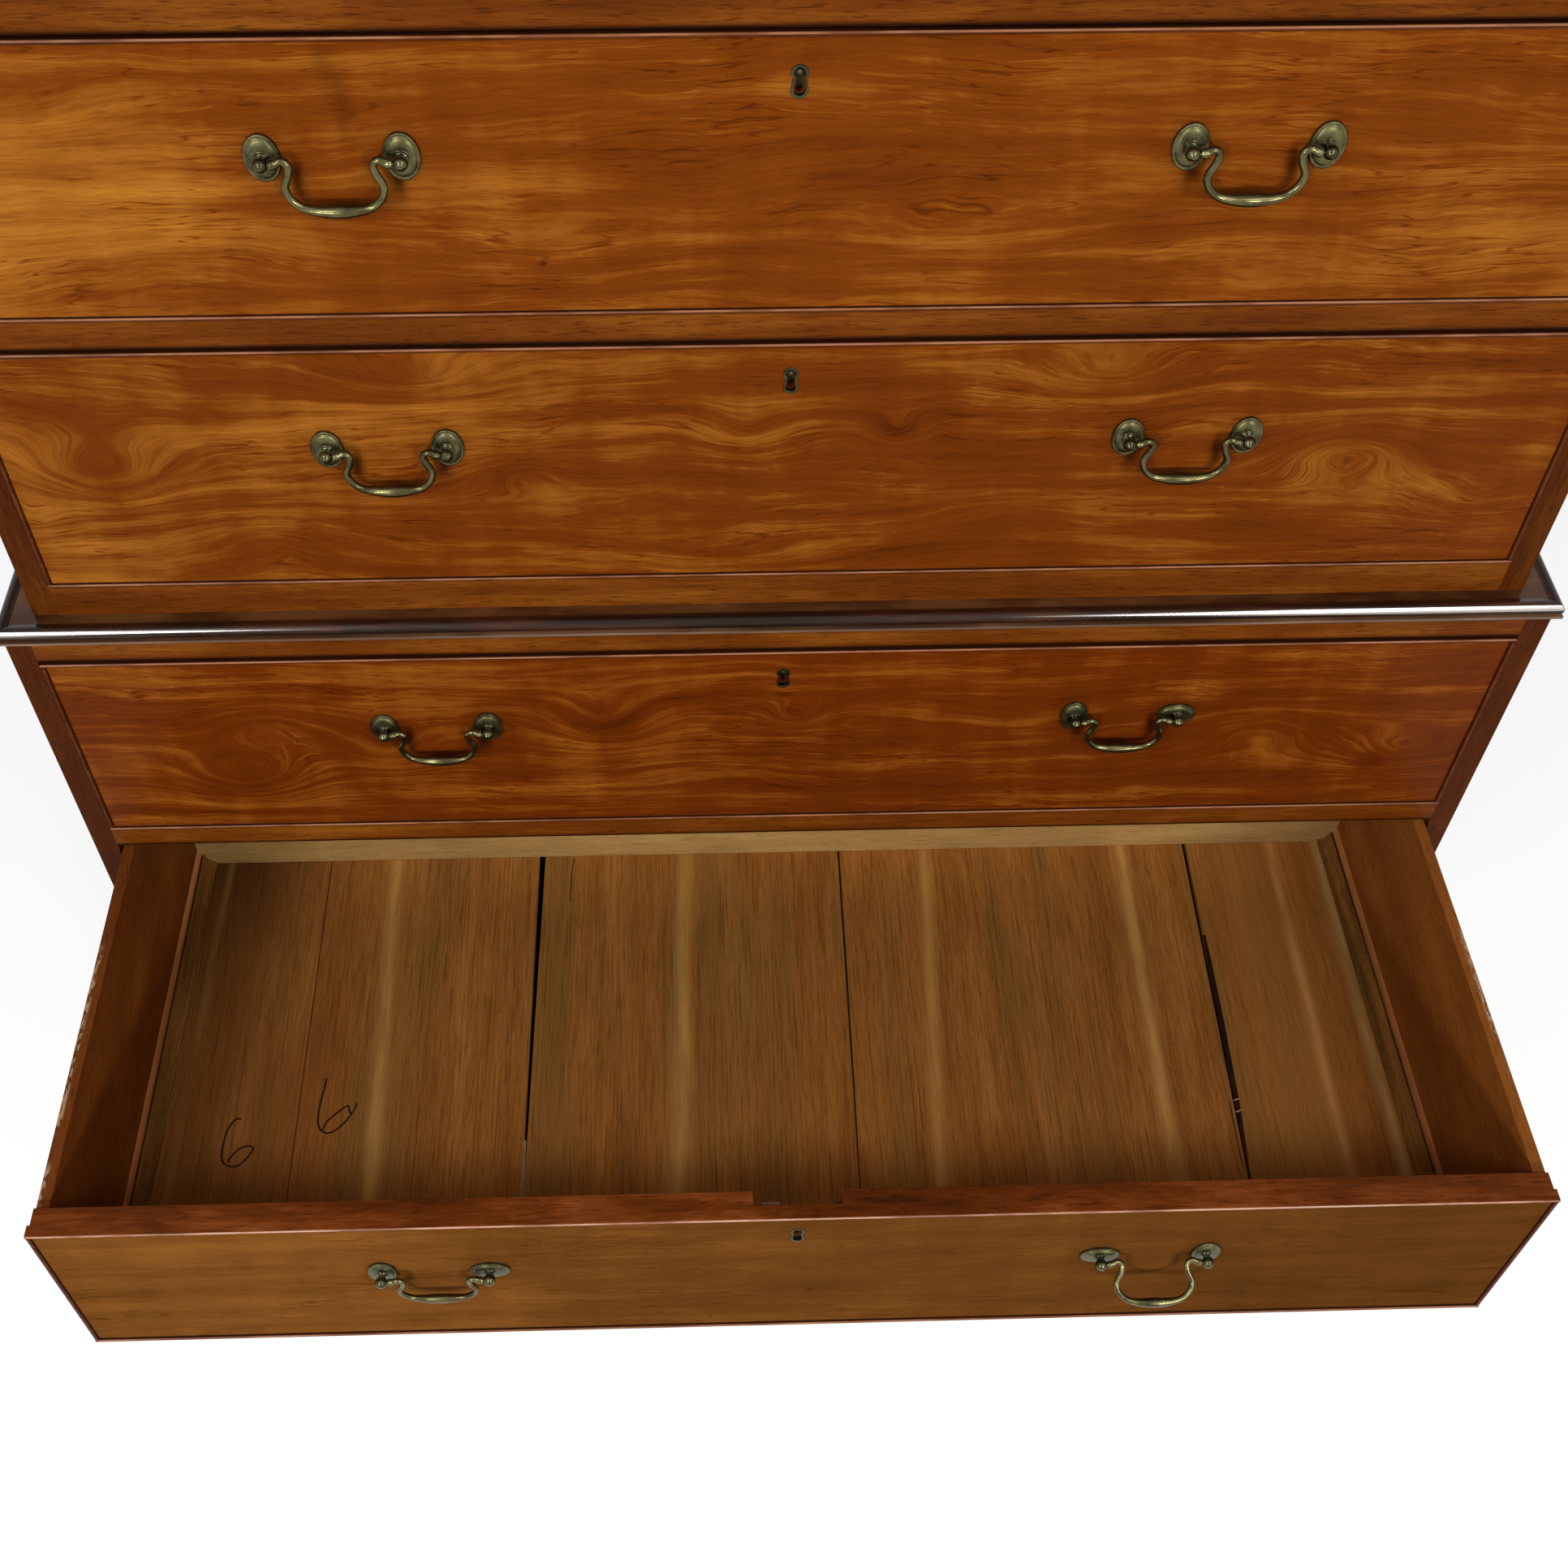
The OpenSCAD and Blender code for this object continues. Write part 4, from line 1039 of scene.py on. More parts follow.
BAIL_BRASS = Brass("bail_brass", shade(0.056, 0.048, 0.020), shade(0.125, 0.111, 0.046),
                   rough=0.22, edge_radius=0.0, patina=18.0)
PLATE_BRASS = Brass("plate_brass", shade(0.030, 0.026, 0.012), shade(0.070, 0.060, 0.030),
                    shade(0.16, 0.14, 0.08))
LOCK_BRASS = Brass("lock_brass", shade(0.03, 0.025, 0.015), shade(0.12, 0.09, 0.04),
                   shade(0.3, 0.24, 0.12), rough=0.45)
PENCIL = Mark("pencil")
CRACK = Mark("crack_line", shade(0.006, 0.003, 0.002), shade(0.03, 0.010, 0.004))
SPLIT = Mark("fresh_split", shade(0.26, 0.13, 0.06), shade(0.40, 0.22, 0.12))
NAIL = Mark("nail_line", shade(0.52, 0.26, 0.20), shade(0.60, 0.36, 0.27))


# The drawer fronts' figure, in mm, in the frame's axes


@dataclass(frozen=True)
class FrontPlan:
    """One drawer front: how its figure runs and what marks it has."""

    number: int
    seed: float
    sweep: float
    ripple: float
    band: float
    swells: tuple[Spot, ...] = ()
    glows: tuple[Spot, ...] = ()
    stains: tuple[Spot, ...] = ()
    dark: Colour = shade(0.070, 0.012, 0.0010)
    middle: Colour = shade(0.185, 0.0402, 0.0030)
    light: Colour = shade(0.45, 0.166, 0.0185)
    contrast: float = 0.52


def golden_ends_and_sheen(left: float, right: float) -> tuple[Spot, ...]:
    """The lighter, golden ends of a front, each by its amount: partly the wood's tone, partly a
    painted sheen.
    """
    return (Spot(-520, 0, 170, 1e5, left), Spot(500, 0, 150, 1e5, right))


FRONTS = (
    FrontPlan(1, 3.1, 34, 7, 15, (Spot(-330, 1330, 70, 24, 26),), (Spot(-420, 1330, 120, 200, 0.1),)),
    FrontPlan(2, 8.7, 34, 7, 15, (Spot(300, 1320, 80, 26, -26),), (Spot(430, 1330, 120, 200, 0.1),)),
    FrontPlan(
        3, 5.3, 60, 9, 15,
        (Spot(101, 1110, 90, 22, 24), Spot(-330, 1112, 100, 26, -24), Spot(-130, 1100, 60, 20, 14),
         Spot(300, 1105, 80, 20, -16), Spot(-440, 1200, 60, 20, 16)),
        golden_ends_and_sheen(0.20, 0.08) + (
            Spot(-427, 1140, 110, 40, 0.22), Spot(424, 1091, 90, 40, 0.12),
            Spot(-140, 1120, 150, 26, 0.10), Spot(60, 1150, 180, 60, -0.10),
            Spot(300, 1205, 150, 30, -0.05)),
        (Spot(-257, 1222, 6, 22, 0.30), Spot(-250, 1198, 5, 22, 0.34),
         Spot(-149, 1096, 2.2, 1.6, 0.8))),
    FrontPlan(
        4, 11.9, 46, 10, 13,
        (Spot(71, 968, 20, 13, 30), Spot(-29, 966, 34, 22, 30), Spot(-451, 942, 46, 30, 70),
         Spot(-509, 906, 26, 15, 34), Spot(-176, 936, 30, 14, -30), Spot(-234, 1013, 60, 20, 34),
         Spot(371, 946, 46, 24, -50), Spot(200, 1008, 50, 20, 34), Spot(-23, 858, 70, 18, 28),
         Spot(-350, 889, 55, 22, -36), Spot(470, 900, 50, 20, 30), Spot(150, 900, 60, 20, -24)),
        golden_ends_and_sheen(0.10, 0.0) + (
            Spot(71, 968, 16, 9, -0.14), Spot(-451, 942, 30, 16, -0.16),
            Spot(-176, 936, 26, 9, -0.2), Spot(-330, 960, 80, 26, 0.12),
            Spot(60, 920, 200, 70, -0.06), Spot(-230, 990, 90, 30, 0.08),
            Spot(-290, 1015, 60, 10, -0.12)),
        middle=shade(0.166, 0.0345, 0.0025)),
    FrontPlan(
        5, 17.3, 46, 10, 12,
        (Spot(-136, 709, 40, 28, 56), Spot(-415, 651, 46, 30, 76), Spot(-389, 716, 46, 22, -40),
         Spot(11, 713, 20, 14, 30), Spot(491, 658, 40, 20, 42), Spot(374, 683, 42, 24, -40),
         Spot(-60, 650, 60, 18, -26), Spot(180, 700, 70, 24, 24), Spot(-300, 680, 30, 24, 30)),
        golden_ends_and_sheen(0.03, 0.0) + (
            Spot(-136, 709, 26, 16, -0.2), Spot(-415, 651, 34, 22, -0.18),
            Spot(11, 713, 14, 9, -0.12), Spot(-210, 690, 22, 40, -0.1),
            Spot(465, 644, 14, 6, -0.3), Spot(-300, 740, 100, 30, 0.10),
            Spot(120, 690, 180, 70, -0.06), Spot(300, 735, 26, 10, 0.14)),
        dark=shade(0.060, 0.0095, 0.0008), middle=shade(0.145, 0.0262, 0.0018),
        light=shade(0.42, 0.14, 0.014)),
    FrontPlan(
        OPEN_DRAWER, 23.5, 14, 3, 20,
        # Painted light: lighter on the left and darker on the right, as the left lamp is stronger; the
        # browner, duller tone is partly the board's own and partly painted shade
        glows=(Spot(-400, 480, 190, 300, 0.24), Spot(440, 480, 200, 300, -0.20)),
        dark=shade(0.075, 0.026, 0.005), middle=shade(0.144, 0.051, 0.0095),
        light=shade(0.28, 0.105, 0.020), contrast=0.4),
    FrontPlan(7, 29.9, 40, 8, 15, (Spot(-260, 260, 80, 30, 44), Spot(180, 250, 70, 30, -40)),
              golden_ends_and_sheen(0.1, 0.0)),
)


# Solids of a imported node


@dataclass
class Solid:
    """One closed shape inside a CAD node: its polygons and its box, in mm."""

    polygons: list[int]
    low: Vector
    high: Vector

    @property
    def size(self) -> Vector:
        """Its length along X, Y and Z."""
        return self.high - self.low


def solids_of(node: bpy.types.Object) -> list[Solid]:
    """Sorts a node's triangles by the closed shape that each belongs to.

    Args:
        node: the CAD node.

    Returns:
        Its solids.
    """
    mesh = node.data
    places = np.zeros(len(mesh.vertices) * 3)
    mesh.vertices.foreach_get("co", places)
    places = places.reshape(-1, 3) / MM
    _, same = np.unique(np.round(places, 2), axis=0, return_inverse=True)
    same = same.reshape(-1)
    first = list(range(int(same.max()) + 1))

    def root(k: int) -> int:
        """The first point of the shape that point k belongs to."""
        while first[k] != k:
            first[k] = first[first[k]]
            k = first[k]
        return k

    for polygon in mesh.polygons:
        corners = [root(int(same[v])) for v in polygon.vertices]
        for corner in corners[1:]:
            first[corner] = corners[0]
            corners[0] = root(corners[0])
    groups: dict[int, list[int]] = {}
    for polygon in mesh.polygons:
        groups.setdefault(root(int(same[polygon.vertices[0]])), []).append(polygon.index)
    found = []
    for members in groups.values():
        corners = places[[v for k in members for v in mesh.polygons[k].vertices]]
        found.append(Solid(members, Vector(corners.min(0)), Vector(corners.max(0))))
    return found


def dress(name: str, choice: Union[Material, Callable[[Solid], Material]]) -> None:
    """Gives a CAD node one material, or each of its solids its own.

    Args:
        name: the CAD node's name.
        choice: the material, or a function that says which one a solid has.
    """
    node = frame["nodes"][name]
    slots = node.data.materials
    slots.clear()
    places: dict[str, int] = {}
    for solid in solids_of(node):
        material = choice(solid) if callable(choice) else choice
        if material.name not in places:
            places[material.name] = len(slots)
            slots.append(material)
        for k in solid.polygons:
            node.data.polygons[k].material_index = places[material.name]


# Small meshes


def place_in_scene(name: str, data: bpy.types.ID) -> bpy.types.Object:
    """Makes an object and adds it to the scene.

    Args:
        name: its name.
        data: its mesh, camera or light.

    Returns:
        The object.
    """
    made = bpy.data.objects.new(name, data)
    bpy.context.scene.collection.objects.link(made)
    return made


def finish_mesh(maker: bmesh.types.BMesh, name: str, material: Material, body: str,
                sharp: float = 40.0) -> bpy.types.Object:
    """Turns a bmesh, built in mm in the frame's axes, into a piece that rides on a body.

    Args:
        maker: the bmesh, which is used up.
        name: the piece's name.
        material: its finish.
        body: the CAD body that it rides on.
        sharp: the angle, in degrees, past which an edge stays sharp.

    Returns:
        The piece.
    """
    bmesh.ops.remove_doubles(maker, verts=maker.verts, dist=0.002)
    bmesh.ops.recalc_face_normals(maker, faces=maker.faces)
    bmesh.ops.scale(maker, vec=(MM, MM, MM), verts=maker.verts)
    mesh = bpy.data.meshes.new(name)
    maker.to_mesh(mesh)
    maker.free()
    mesh.polygons.foreach_set("use_smooth", [True] * len(mesh.polygons))
    mesh.set_sharp_from_angle(angle=math.radians(sharp))
    mesh.materials.append(material)
    piece = place_in_scene(name, mesh)
    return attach(piece, body)


def turned(maker: bmesh.types.BMesh, profile: list[Pair], steps: int, place: Matrix) -> None:
    """Spins a profile about the Y axis, which points out of the drawer front, and places it.

    Args:
        maker: the bmesh that gets it.
        profile: rows of radius and distance out, from the front's face to the tip.
        steps: the number of steps round.
        place: where it goes, in mm.
    """
    verts = [maker.verts.new((radius, -out, 0.0)) for radius, out in profile]
    edges = [maker.edges.new(pair) for pair in zip(verts, verts[1:])]
    before = set(maker.verts) - set(verts)
    bmesh.ops.spin(maker, geom=verts + edges, cent=(0, 0, 0), axis=(0, 1, 0), angle=math.tau,
                   steps=steps, use_merge=True)
    made = [v for v in maker.verts if v not in before]
    bmesh.ops.remove_doubles(maker, verts=made, dist=0.001)
    made = [v for v in maker.verts if v not in before]
    bmesh.ops.transform(maker, matrix=place, verts=made)


def swept(maker: bmesh.types.BMesh, rows: list[tuple[Vector, float]], sides: int, place: Matrix,
          flat_axis: Vector) -> None:
    """Draws a round rod along a flat path, its thickness changing from row to row.

    Args:
        maker: the bmesh that gets it.
        rows: points of the path and the rod's radius at each.
        sides: the rod's number of sides.
        place: where it goes, in mm.
        flat_axis: the direction square to the path's plane.
    """
    def station(k: int) -> Matrix:
        """The rod's frame at row k."""
        ahead = rows[min(k + 1, len(rows) - 1)][0] - rows[max(k - 1, 0)][0]
        ahead.normalize()
        side = ahead.cross(flat_axis)
        turn = Matrix((side, flat_axis, ahead)).transposed().to_4x4()
        spread = Matrix.Diagonal((rows[k][1], rows[k][1], 1.0, 1.0))
        return Matrix.Translation(rows[k][0]) @ turn @ spread

    before = set(maker.verts)
    ring = bmesh.ops.create_circle(maker, cap_ends=True, segments=sides, radius=1.0,
                                   matrix=station(0))["verts"]
    loop = list({e for v in ring for e in v.link_edges})
    for k in range(1, len(rows)):
        grown = bmesh.ops.extrude_edge_only(maker, edges=loop)["geom"]
        ring = [g for g in grown if isinstance(g, bmesh.types.BMVert)]
        ring_set = set(ring)
        loop = [g for g in grown if isinstance(g, bmesh.types.BMEdge)]
        loop = [e for e in loop if e.verts[0] in ring_set and e.verts[1] in ring_set]
        bmesh.ops.transform(maker, matrix=station(k) @ station(k - 1).inverted(), verts=ring)
    bmesh.ops.contextual_create(maker, geom=loop)
    made = [v for v in maker.verts if v not in before]
    bmesh.ops.transform(maker, matrix=place, verts=made)


def smooth_rows(rows: list[Row], steps: int) -> list[Row]:
    """A smooth curve through the rows.

    Args:
        rows: the rows, of any width.
        steps: how many steps each stretch gets.

    Returns:
        The rows of the curve.
    """
    last, curve = len(rows) - 1, []
    for k in range(last):
        a, b, c, d = (rows[min(max(k + j, 0), last)] for j in (-1, 0, 1, 2))
        for s in range(steps):
            t = s / steps
            curve.append(tuple(
                0.5 * (2 * q + (r - p) * t + (2 * p - 5 * q + 4 * r - u) * t * t
                       + (3 * q - p - 3 * r + u) * t * t * t) for p, q, r, u in zip(a, b, c, d)))
    curve.append(rows[last])
    return curve


# The chest's sub-assemblies


@dataclass
class Case:
    """Both halves of the case: boards, rails, mouldings and feet.

    Lengths in mm tell the solids of a node apart: a rail, an upright, a moulding's front length
    and a foot's bracket are longer than their value here, and the rest of the node is shorter.
    """

    wood: Wood = MAHOGANY
    faces: Pair = (-72.04, -57.04)
    rail_length: float = 200.0
    # How far the painted shade along each rail's lower edge reaches
    rail_gap_shade: float = 2.2
    upright_height: float = 60.0
    moulding_length: float = 300.0
    bracket_length: float = 60.0
    back_width: float = 215.0
    back_reds: Row = (0.30, 0.25, 0.34)

    def dress_sides(self) -> None:
        """The four side boards, their grain upright."""
        for k in range(4):
            half, side = ("lower", "upper")[k // 2], ("left", "right")[k % 2]
            dress(f"{half}_side_{side}", SIDE_BOARD.board(
                f"side_board_{k + 1}", 31.0 + 2.7 * k, face=self.faces[k // 2]))

    def dress_rails(self) -> None:
        """The rails between the drawers, each with painted shade along its lower edge, the upright
        between the short ones and the stops.
        """
        names = ("lower_rails", "upper_rails")
        solids = [solid for name in names for solid in solids_of(frame["nodes"][name])]
        levels = sorted({round(s.low.z, 1) for s in solids if s.size.x > self.rail_length})
        # Painted shade along each rail's lower edge, for the dark gap above the drawer below
        rail = self.wood.board(
            "rail_wood", 41.0, pores=0.6, wear=0.3, veins=0.15, contrast=0.8,
            stains=tuple(Spot(0, z, 1e5, self.rail_gap_shade, 1.1) for z in levels))
        upright = self.wood.board("upright_wood", 43.0, grain=Grain.UPRIGHT)
        stop = PALE.board("stop_wood", 47.0)

        def choose(solid: Solid) -> Material:
            """Rail, upright or stop."""
            if solid.size.x > self.rail_length:
                return rail
            return upright if solid.size.z > self.upright_height else stop

        for name in names:
            dress(name, choose)

    def dress_mouldings(self) -> None:
        """The waist, base and cornice mouldings: each front length and its two returns."""
        base = replace(self.wood, name="base_front", seed=53.0, gloss=0.15, rough=0.28)
        crown = replace(base, name="cornice_front", seed=57.0)
        for node, wood in (("waist_moulding", WAIST), ("base_moulding", base), ("cornice", crown)):
            front = wood.material()
            side = wood.board(wood.name.replace("front", "return"), wood.seed + 1.0,
                              grain=Grain.INWARDS)
            dress(node, lambda solid, front=front, side=side: front
                  if solid.size.x > self.moulding_length else side)

    def dress_feet(self) -> None:
        """The bracket feet and the blocks behind them."""
        front = self.wood.board("foot_front", 61.0)
        side = self.wood.board("foot_side", 63.0, grain=Grain.INWARDS)
        block = PALE.board("foot_block", 65.0, grain=Grain.UPRIGHT)

        def choose(solid: Solid) -> Material:
            """Front bracket, side bracket or block."""
            if solid.size.x > self.bracket_length:
                return front
            return side if solid.size.y > self.bracket_length else block

        for name in ("front_feet", "rear_feet"):
            dress(name, choose)

    def dress_inside(self) -> None:
        """Top, bottom and back boards and the runners."""
        dust = PALE.board("dust_board", 71.0)
        runner = PALE.board("runner_wood", 75.0, grain=Grain.INWARDS)
        backs = [PALE.board(
            f"back_board_{k + 1}", 73.0 + 5.3 * k, grain=Grain.UPRIGHT,
            dark=shade(0.13, 0.055, 0.022), middle=shade(red, 0.50 * red, 0.21 * red),
            light=shade(0.46, 0.27, 0.13), band=44.0, contrast=0.8, cloud_size=(160.0, 70.0, 70.0))
            for k, red in enumerate(self.back_reds)]

        def choose(solid: Solid) -> Material:
            """The three kinds of back board by turns, from the left."""
            return backs[round(solid.low.x / self.back_width + 2.5) % len(backs)]

        for half in ("lower", "upper"):
            dress(f"{half}_top", dust)
            dress(f"{half}_bottom", dust)
            dress(f"{half}_runners", runner)
            dress(f"{half}_back", choose)

    def build(self) -> None:
        """Dresses every node of the case."""
        self.dress_sides()
        self.dress_rails()
        self.dress_mouldings()
        self.dress_feet()
        self.dress_inside()
        log.info("case dressed")


@dataclass
class Drawer:
    """One drawer: its front, its sides, back and bottom, and the brass that is fixed to it.

    Lengths in mm tell the solids of a node apart. The rosettes' grime has its reach both ways and
    its amount. Each painted shadow of the bails has its place off the handle's middle and below it,
    and its reach both ways.
    """

    plan: FrontPlan
    board_height: float = 100.0
    edge_depth: float = 12.0
    back_length: float = 100.0
    side_height: float = 60.0
    lock_length: float = 40.0
    swell_share: float = 0.62
    rosette_half_spacing: float = 39.0
    rosette_grime: Row = (11.8, 15.8, 0.45)
    # Painted shadows of each bail's arms and grip on the front
    bail_grime: tuple[Row, ...] = ((-22.0, 14.0, 4.2, 10.0), (35.0, 16.0, 4.4, 10.5),
                                   (6.0, 31.0, 22.0, 4.2))
    bail_shadow_amount: float = 0.78
    open_bail_shadow_amount: float = 0.3

    @property
    def is_open(self) -> bool:
        """Whether this is the drawer that stands open."""
        return self.plan.number == OPEN_DRAWER

    @property
    def body(self) -> str:
        """The CAD body that it moves with, whose name also starts those of its nodes."""
        return f"drawer_{self.plan.number}"

    def handle_grime_and_shadows(self) -> tuple[Spot, ...]:
        """Old polish round the rosettes, and painted shadows behind the bails, away from the nearer
        lamp.
        """
        amount = self.open_bail_shadow_amount if self.is_open else self.bail_shadow_amount
        spots = []
        for joint in frame["joints"]:
            if joint["name"].startswith(f"swing_{self.plan.number}"):
                x, _, z = (v / MM for v in joint["pos_m"])
                away = 1 if x < 0 else -1
                spots += [Spot(x + end * self.rosette_half_spacing, z, *self.rosette_grime)
                          for end in (-1, 1)]
                # Painted shadows of the bail, cast away from the nearer lamp
                spots += [Spot(x + away * off, z - drop, wide, tall, amount)
                          for off, drop, wide, tall in self.bail_grime]
        return tuple(spots)

    def front_wood(self) -> Wood:
        """The figured board's wood."""
        plan = self.plan
        swells = tuple(replace(s, amount=s.amount * self.swell_share) for s in plan.swells)
        return Wood(
            f"figured_front_{plan.number}", Grain.SIDEWAYS, plan.dark, plan.middle, plan.light,
            band=plan.band, sweep=plan.sweep, ripple=plan.ripple, seed=plan.seed, swells=swells,
            glows=plan.glows, stains=plan.stains + self.handle_grime_and_shadows(), contrast=plan.contrast,
            fibre=0.36, veins=0.32, pores=0.25, cloud=0.24, cloud_size=(110.0, 50.0, 90.0),
            shimmer=0.14, rough=0.42 if self.is_open else 0.34,
            gloss=0.0 if self.is_open else 0.04, gloss_tint=shade(1.0, 0.6, 0.3), wear=0.3,
            wear_colour=plan.light)

    def dress_front(self) -> None:
        """The figured board and its cockbeads."""
        board, bead, top_edge = (w.material() for w in (self.front_wood(), COCKBEAD, TOP_EDGE))

        def choose(solid: Solid) -> Material:
            """Board, top edge or bead."""
            if min(solid.size.x, solid.size.z) > self.board_height:
                return board
            return top_edge if self.is_open and solid.size.y > self.edge_depth else bead

        dress(f"{self.body}_front", choose)

    def dress_box(self) -> None:
        """Sides, back, corner fillets and strips."""
        side, fillet = DRAWER_SIDE.material(), FILLET.material()
        back = PALE.board("drawer_back_wood", 93.0, pores=0.4)

        def choose(solid: Solid) -> Material:
            """Back, side, or one of the small strips."""
            if solid.size.x > self.back_length:
                return back
            return side if solid.size.z > self.side_height else fillet

        dress(f"{self.body}_box", choose)

    def dress_rest(self) -> None:
        """The bottom boards and the CAD brasses left in view: escutcheon, nuts and lock."""
        dress(f"{self.body}_bottom", (OPEN_FLOOR if self.is_open else BOTTOM_BOARDS).material())
        lock, plate = LOCK_BRASS.material(), PLATE_BRASS.material()
        dress(f"{self.body}_brasses",
              lambda solid: lock if solid.size.x > self.lock_length else plate)

    def build(self) -> None:
        """Dresses the drawer's nodes."""
        self.dress_front()
        self.dress_box()
        self.dress_rest()
        log.info("%s dressed", self.body)


@dataclass
class Handle:
    """A swan-neck handle: two oval rosettes, two turned posts with ball heads and the bail.

    Lengths are in mm. Some rosettes have been put back a quarter turn round, as in the photo:
    they are named by drawer, side and end. The open drawer's bails are slimmer.
    """

    drawer: int
    side: str
    joint: dict
    spacing: float = 78.0
    pin_out: float = 9.0
    pin_radius: float = 1.45
    drop: float = 29.3
    rosette_half: Pair = (10.3, 14.3)
    ball: float = 4.4
    neck: float = 2.45
    rod: float = 2.4
    grip: float = 4.2
    slim: float = 0.85
    rosette_steps: int = 40
    post_steps: int = 28
    bail_sides: int = 20
    bail_steps: int = 6
    cast_angle: float = 50.0
    bail_angle: float = 60.0
    turned_rosettes: tuple[tuple[int, str, int], ...] = ((5, "right", 1), (6, "left", 1),
                                                         (6, "right", -1))
    # Share of the half width and distance out, from the rim to the middle
    rosette_rows: tuple[Pair, ...] = (
        (1.012, -0.02), (1.012, 1.6), (1.0, 2.1), (0.975, 2.32), (0.94, 2.36), (0.90, 2.27),
        (0.875, 2.2), (0.855, 2.45), (0.82, 2.8), (0.76, 3.15), (0.68, 3.42), (0.58, 3.6),
        (0.45, 3.72), (0.33, 3.7), (0.26, 3.6), (0.0, 3.6))
    # Radius and distance out of the post's collar, from the plate to the neck
    collar_rows: tuple[Pair, ...] = (
        (5.1, 1.3), (5.15, 3.5), (5.0, 3.95), (4.65, 4.1), (4.3, 3.98), (4.05, 4.0), (3.9, 4.25),
        (3.6, 4.5), (3.1, 4.62), (2.7, 4.72), (2.45, 4.95), (2.4, 5.3))
    # Radius and distance out of the ball's dimpled tip, as shares of the ball's radius
    tip_rows: tuple[Pair, ...] = ((0.46, 0.88), (0.395, 0.953), (0.237, 1.0), (0.0, 1.01))

    @property
    def place(self) -> Vector:
        """The middle of the bail's pins, in mm, at rest."""
        return Vector(self.joint["pos_m"]) / MM

    @property
    def rest_angle(self) -> float:
        """How far the bail is swung out at rest, in degrees."""
        return -min(self.joint["range_deg"])

    def post_profile(self) -> list[Pair]:
        """Radius and distance out, from the collar to the ball's tip."""
        ball, out = self.ball, self.pin_out
        start, end, steps = -math.acos(self.neck / ball), 1.02, 12
        turns = [start + (end - start) * k / steps for k in range(steps + 1)]
        return ([*self.collar_rows, (self.neck, out - 3.2)]
                + [(ball * math.cos(a), out + ball * math.sin(a)) for a in turns]
                + [(ball * r, out + ball * y) for r, y in self.tip_rows])

    def bail_rows(self) -> list[tuple[Vector, float]]:
        """The bail's middle line and radius, with a pin at each end."""
        slim = self.slim if self.drawer == OPEN_DRAWER else 1.0
        half, rod, grip, drop = (self.spacing / 2 - self.ball - 0.35, self.rod * slim,
                                 self.grip * slim, self.drop)
        arm = [(half, 0.0, rod * 1.1), (half - 1.6, 0.2, rod * 1.3), (half - 3.6, 0.8, rod * 1.16),
               (half - 7.2, 2.3, rod), (half - 10.4, -0.2, rod), (half - 9.8, -drop * 0.2, rod),
               (half - 6.6, -drop * 0.46, rod), (half - 8.2, -drop * 0.7, rod),
               (half - 14.0, -drop * 0.9, rod * 1.05), (half - 22.0, -drop * 0.98, rod * 1.35),
               (half * 0.12, -drop, grip * 0.97)]
        other = [(-x, z, r) for x, z, r in reversed(arm)]
        rows = smooth_rows(arm + [(0.0, -drop, grip)] + other, self.bail_steps)
        pin = [(half + 4.3, 0.0, self.pin_radius), (half + 0.05, 0.0, self.pin_radius)]
        whole = pin + rows + [(-x, z, r) for x, z, r in reversed(pin)]
        return [(Vector((x, 0.0, z)), r) for x, z, r in whole]

    def build(self) -> None:
        """Makes the rosettes and posts on the drawer and the bail on its own body."""
        suffix = f"{self.drawer}_{self.side}" if self.side else f"{self.drawer}"
        body, swinging = f"drawer_{self.drawer}", self.joint["child"]
        plates, posts, bail = bmesh.new(), bmesh.new(), bmesh.new()
        x, y, z = self.place
        for end in (-1, 1):
            place = Matrix.Translation((x + end * self.spacing / 2, y + self.pin_out, z))
            width, height = self.rosette_half
            if (self.drawer, self.side, end) in self.turned_rosettes:
                width, height = height, width
            oval = place @ Matrix.Diagonal((width, 1.0, height, 1.0))
            turned(plates, list(self.rosette_rows), self.rosette_steps, oval)
            turned(posts, self.post_profile(), self.post_steps, place)
        finish_mesh(plates, f"rosettes_{suffix}", ROSETTE_BRASS.material(), body,
                    self.cast_angle)
        finish_mesh(posts, f"posts_{suffix}", POST_BRASS.material(), body, self.cast_angle)
        lift = Matrix.Rotation(-math.radians(self.rest_angle), 4, "X")
        swept(bail, self.bail_rows(), self.bail_sides, Matrix.Translation(self.place) @ lift,
              Vector((0.0, 1.0, 0.0)))
        piece = finish_mesh(bail, f"cast_bail_{suffix}", BAIL_BRASS.material(), swinging,
                            self.bail_angle)
        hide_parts(self.joint["child"])
        log.info("handle %s made", suffix)


@dataclass(frozen=True)
class Line:
    """One thin flat line on the drawer's floor.

    A row is x, y and, where the line swells, its share of the half width. A 0 to 1 row fills the
    box, which is left, right, near and far in mm.
    """

    name: str
    rows: tuple[Row, ...]
    half_width: float
    finish: Mark
    box: Row = (0.0, 1.0, 0.0, 1.0)
    lift: float = 0.02


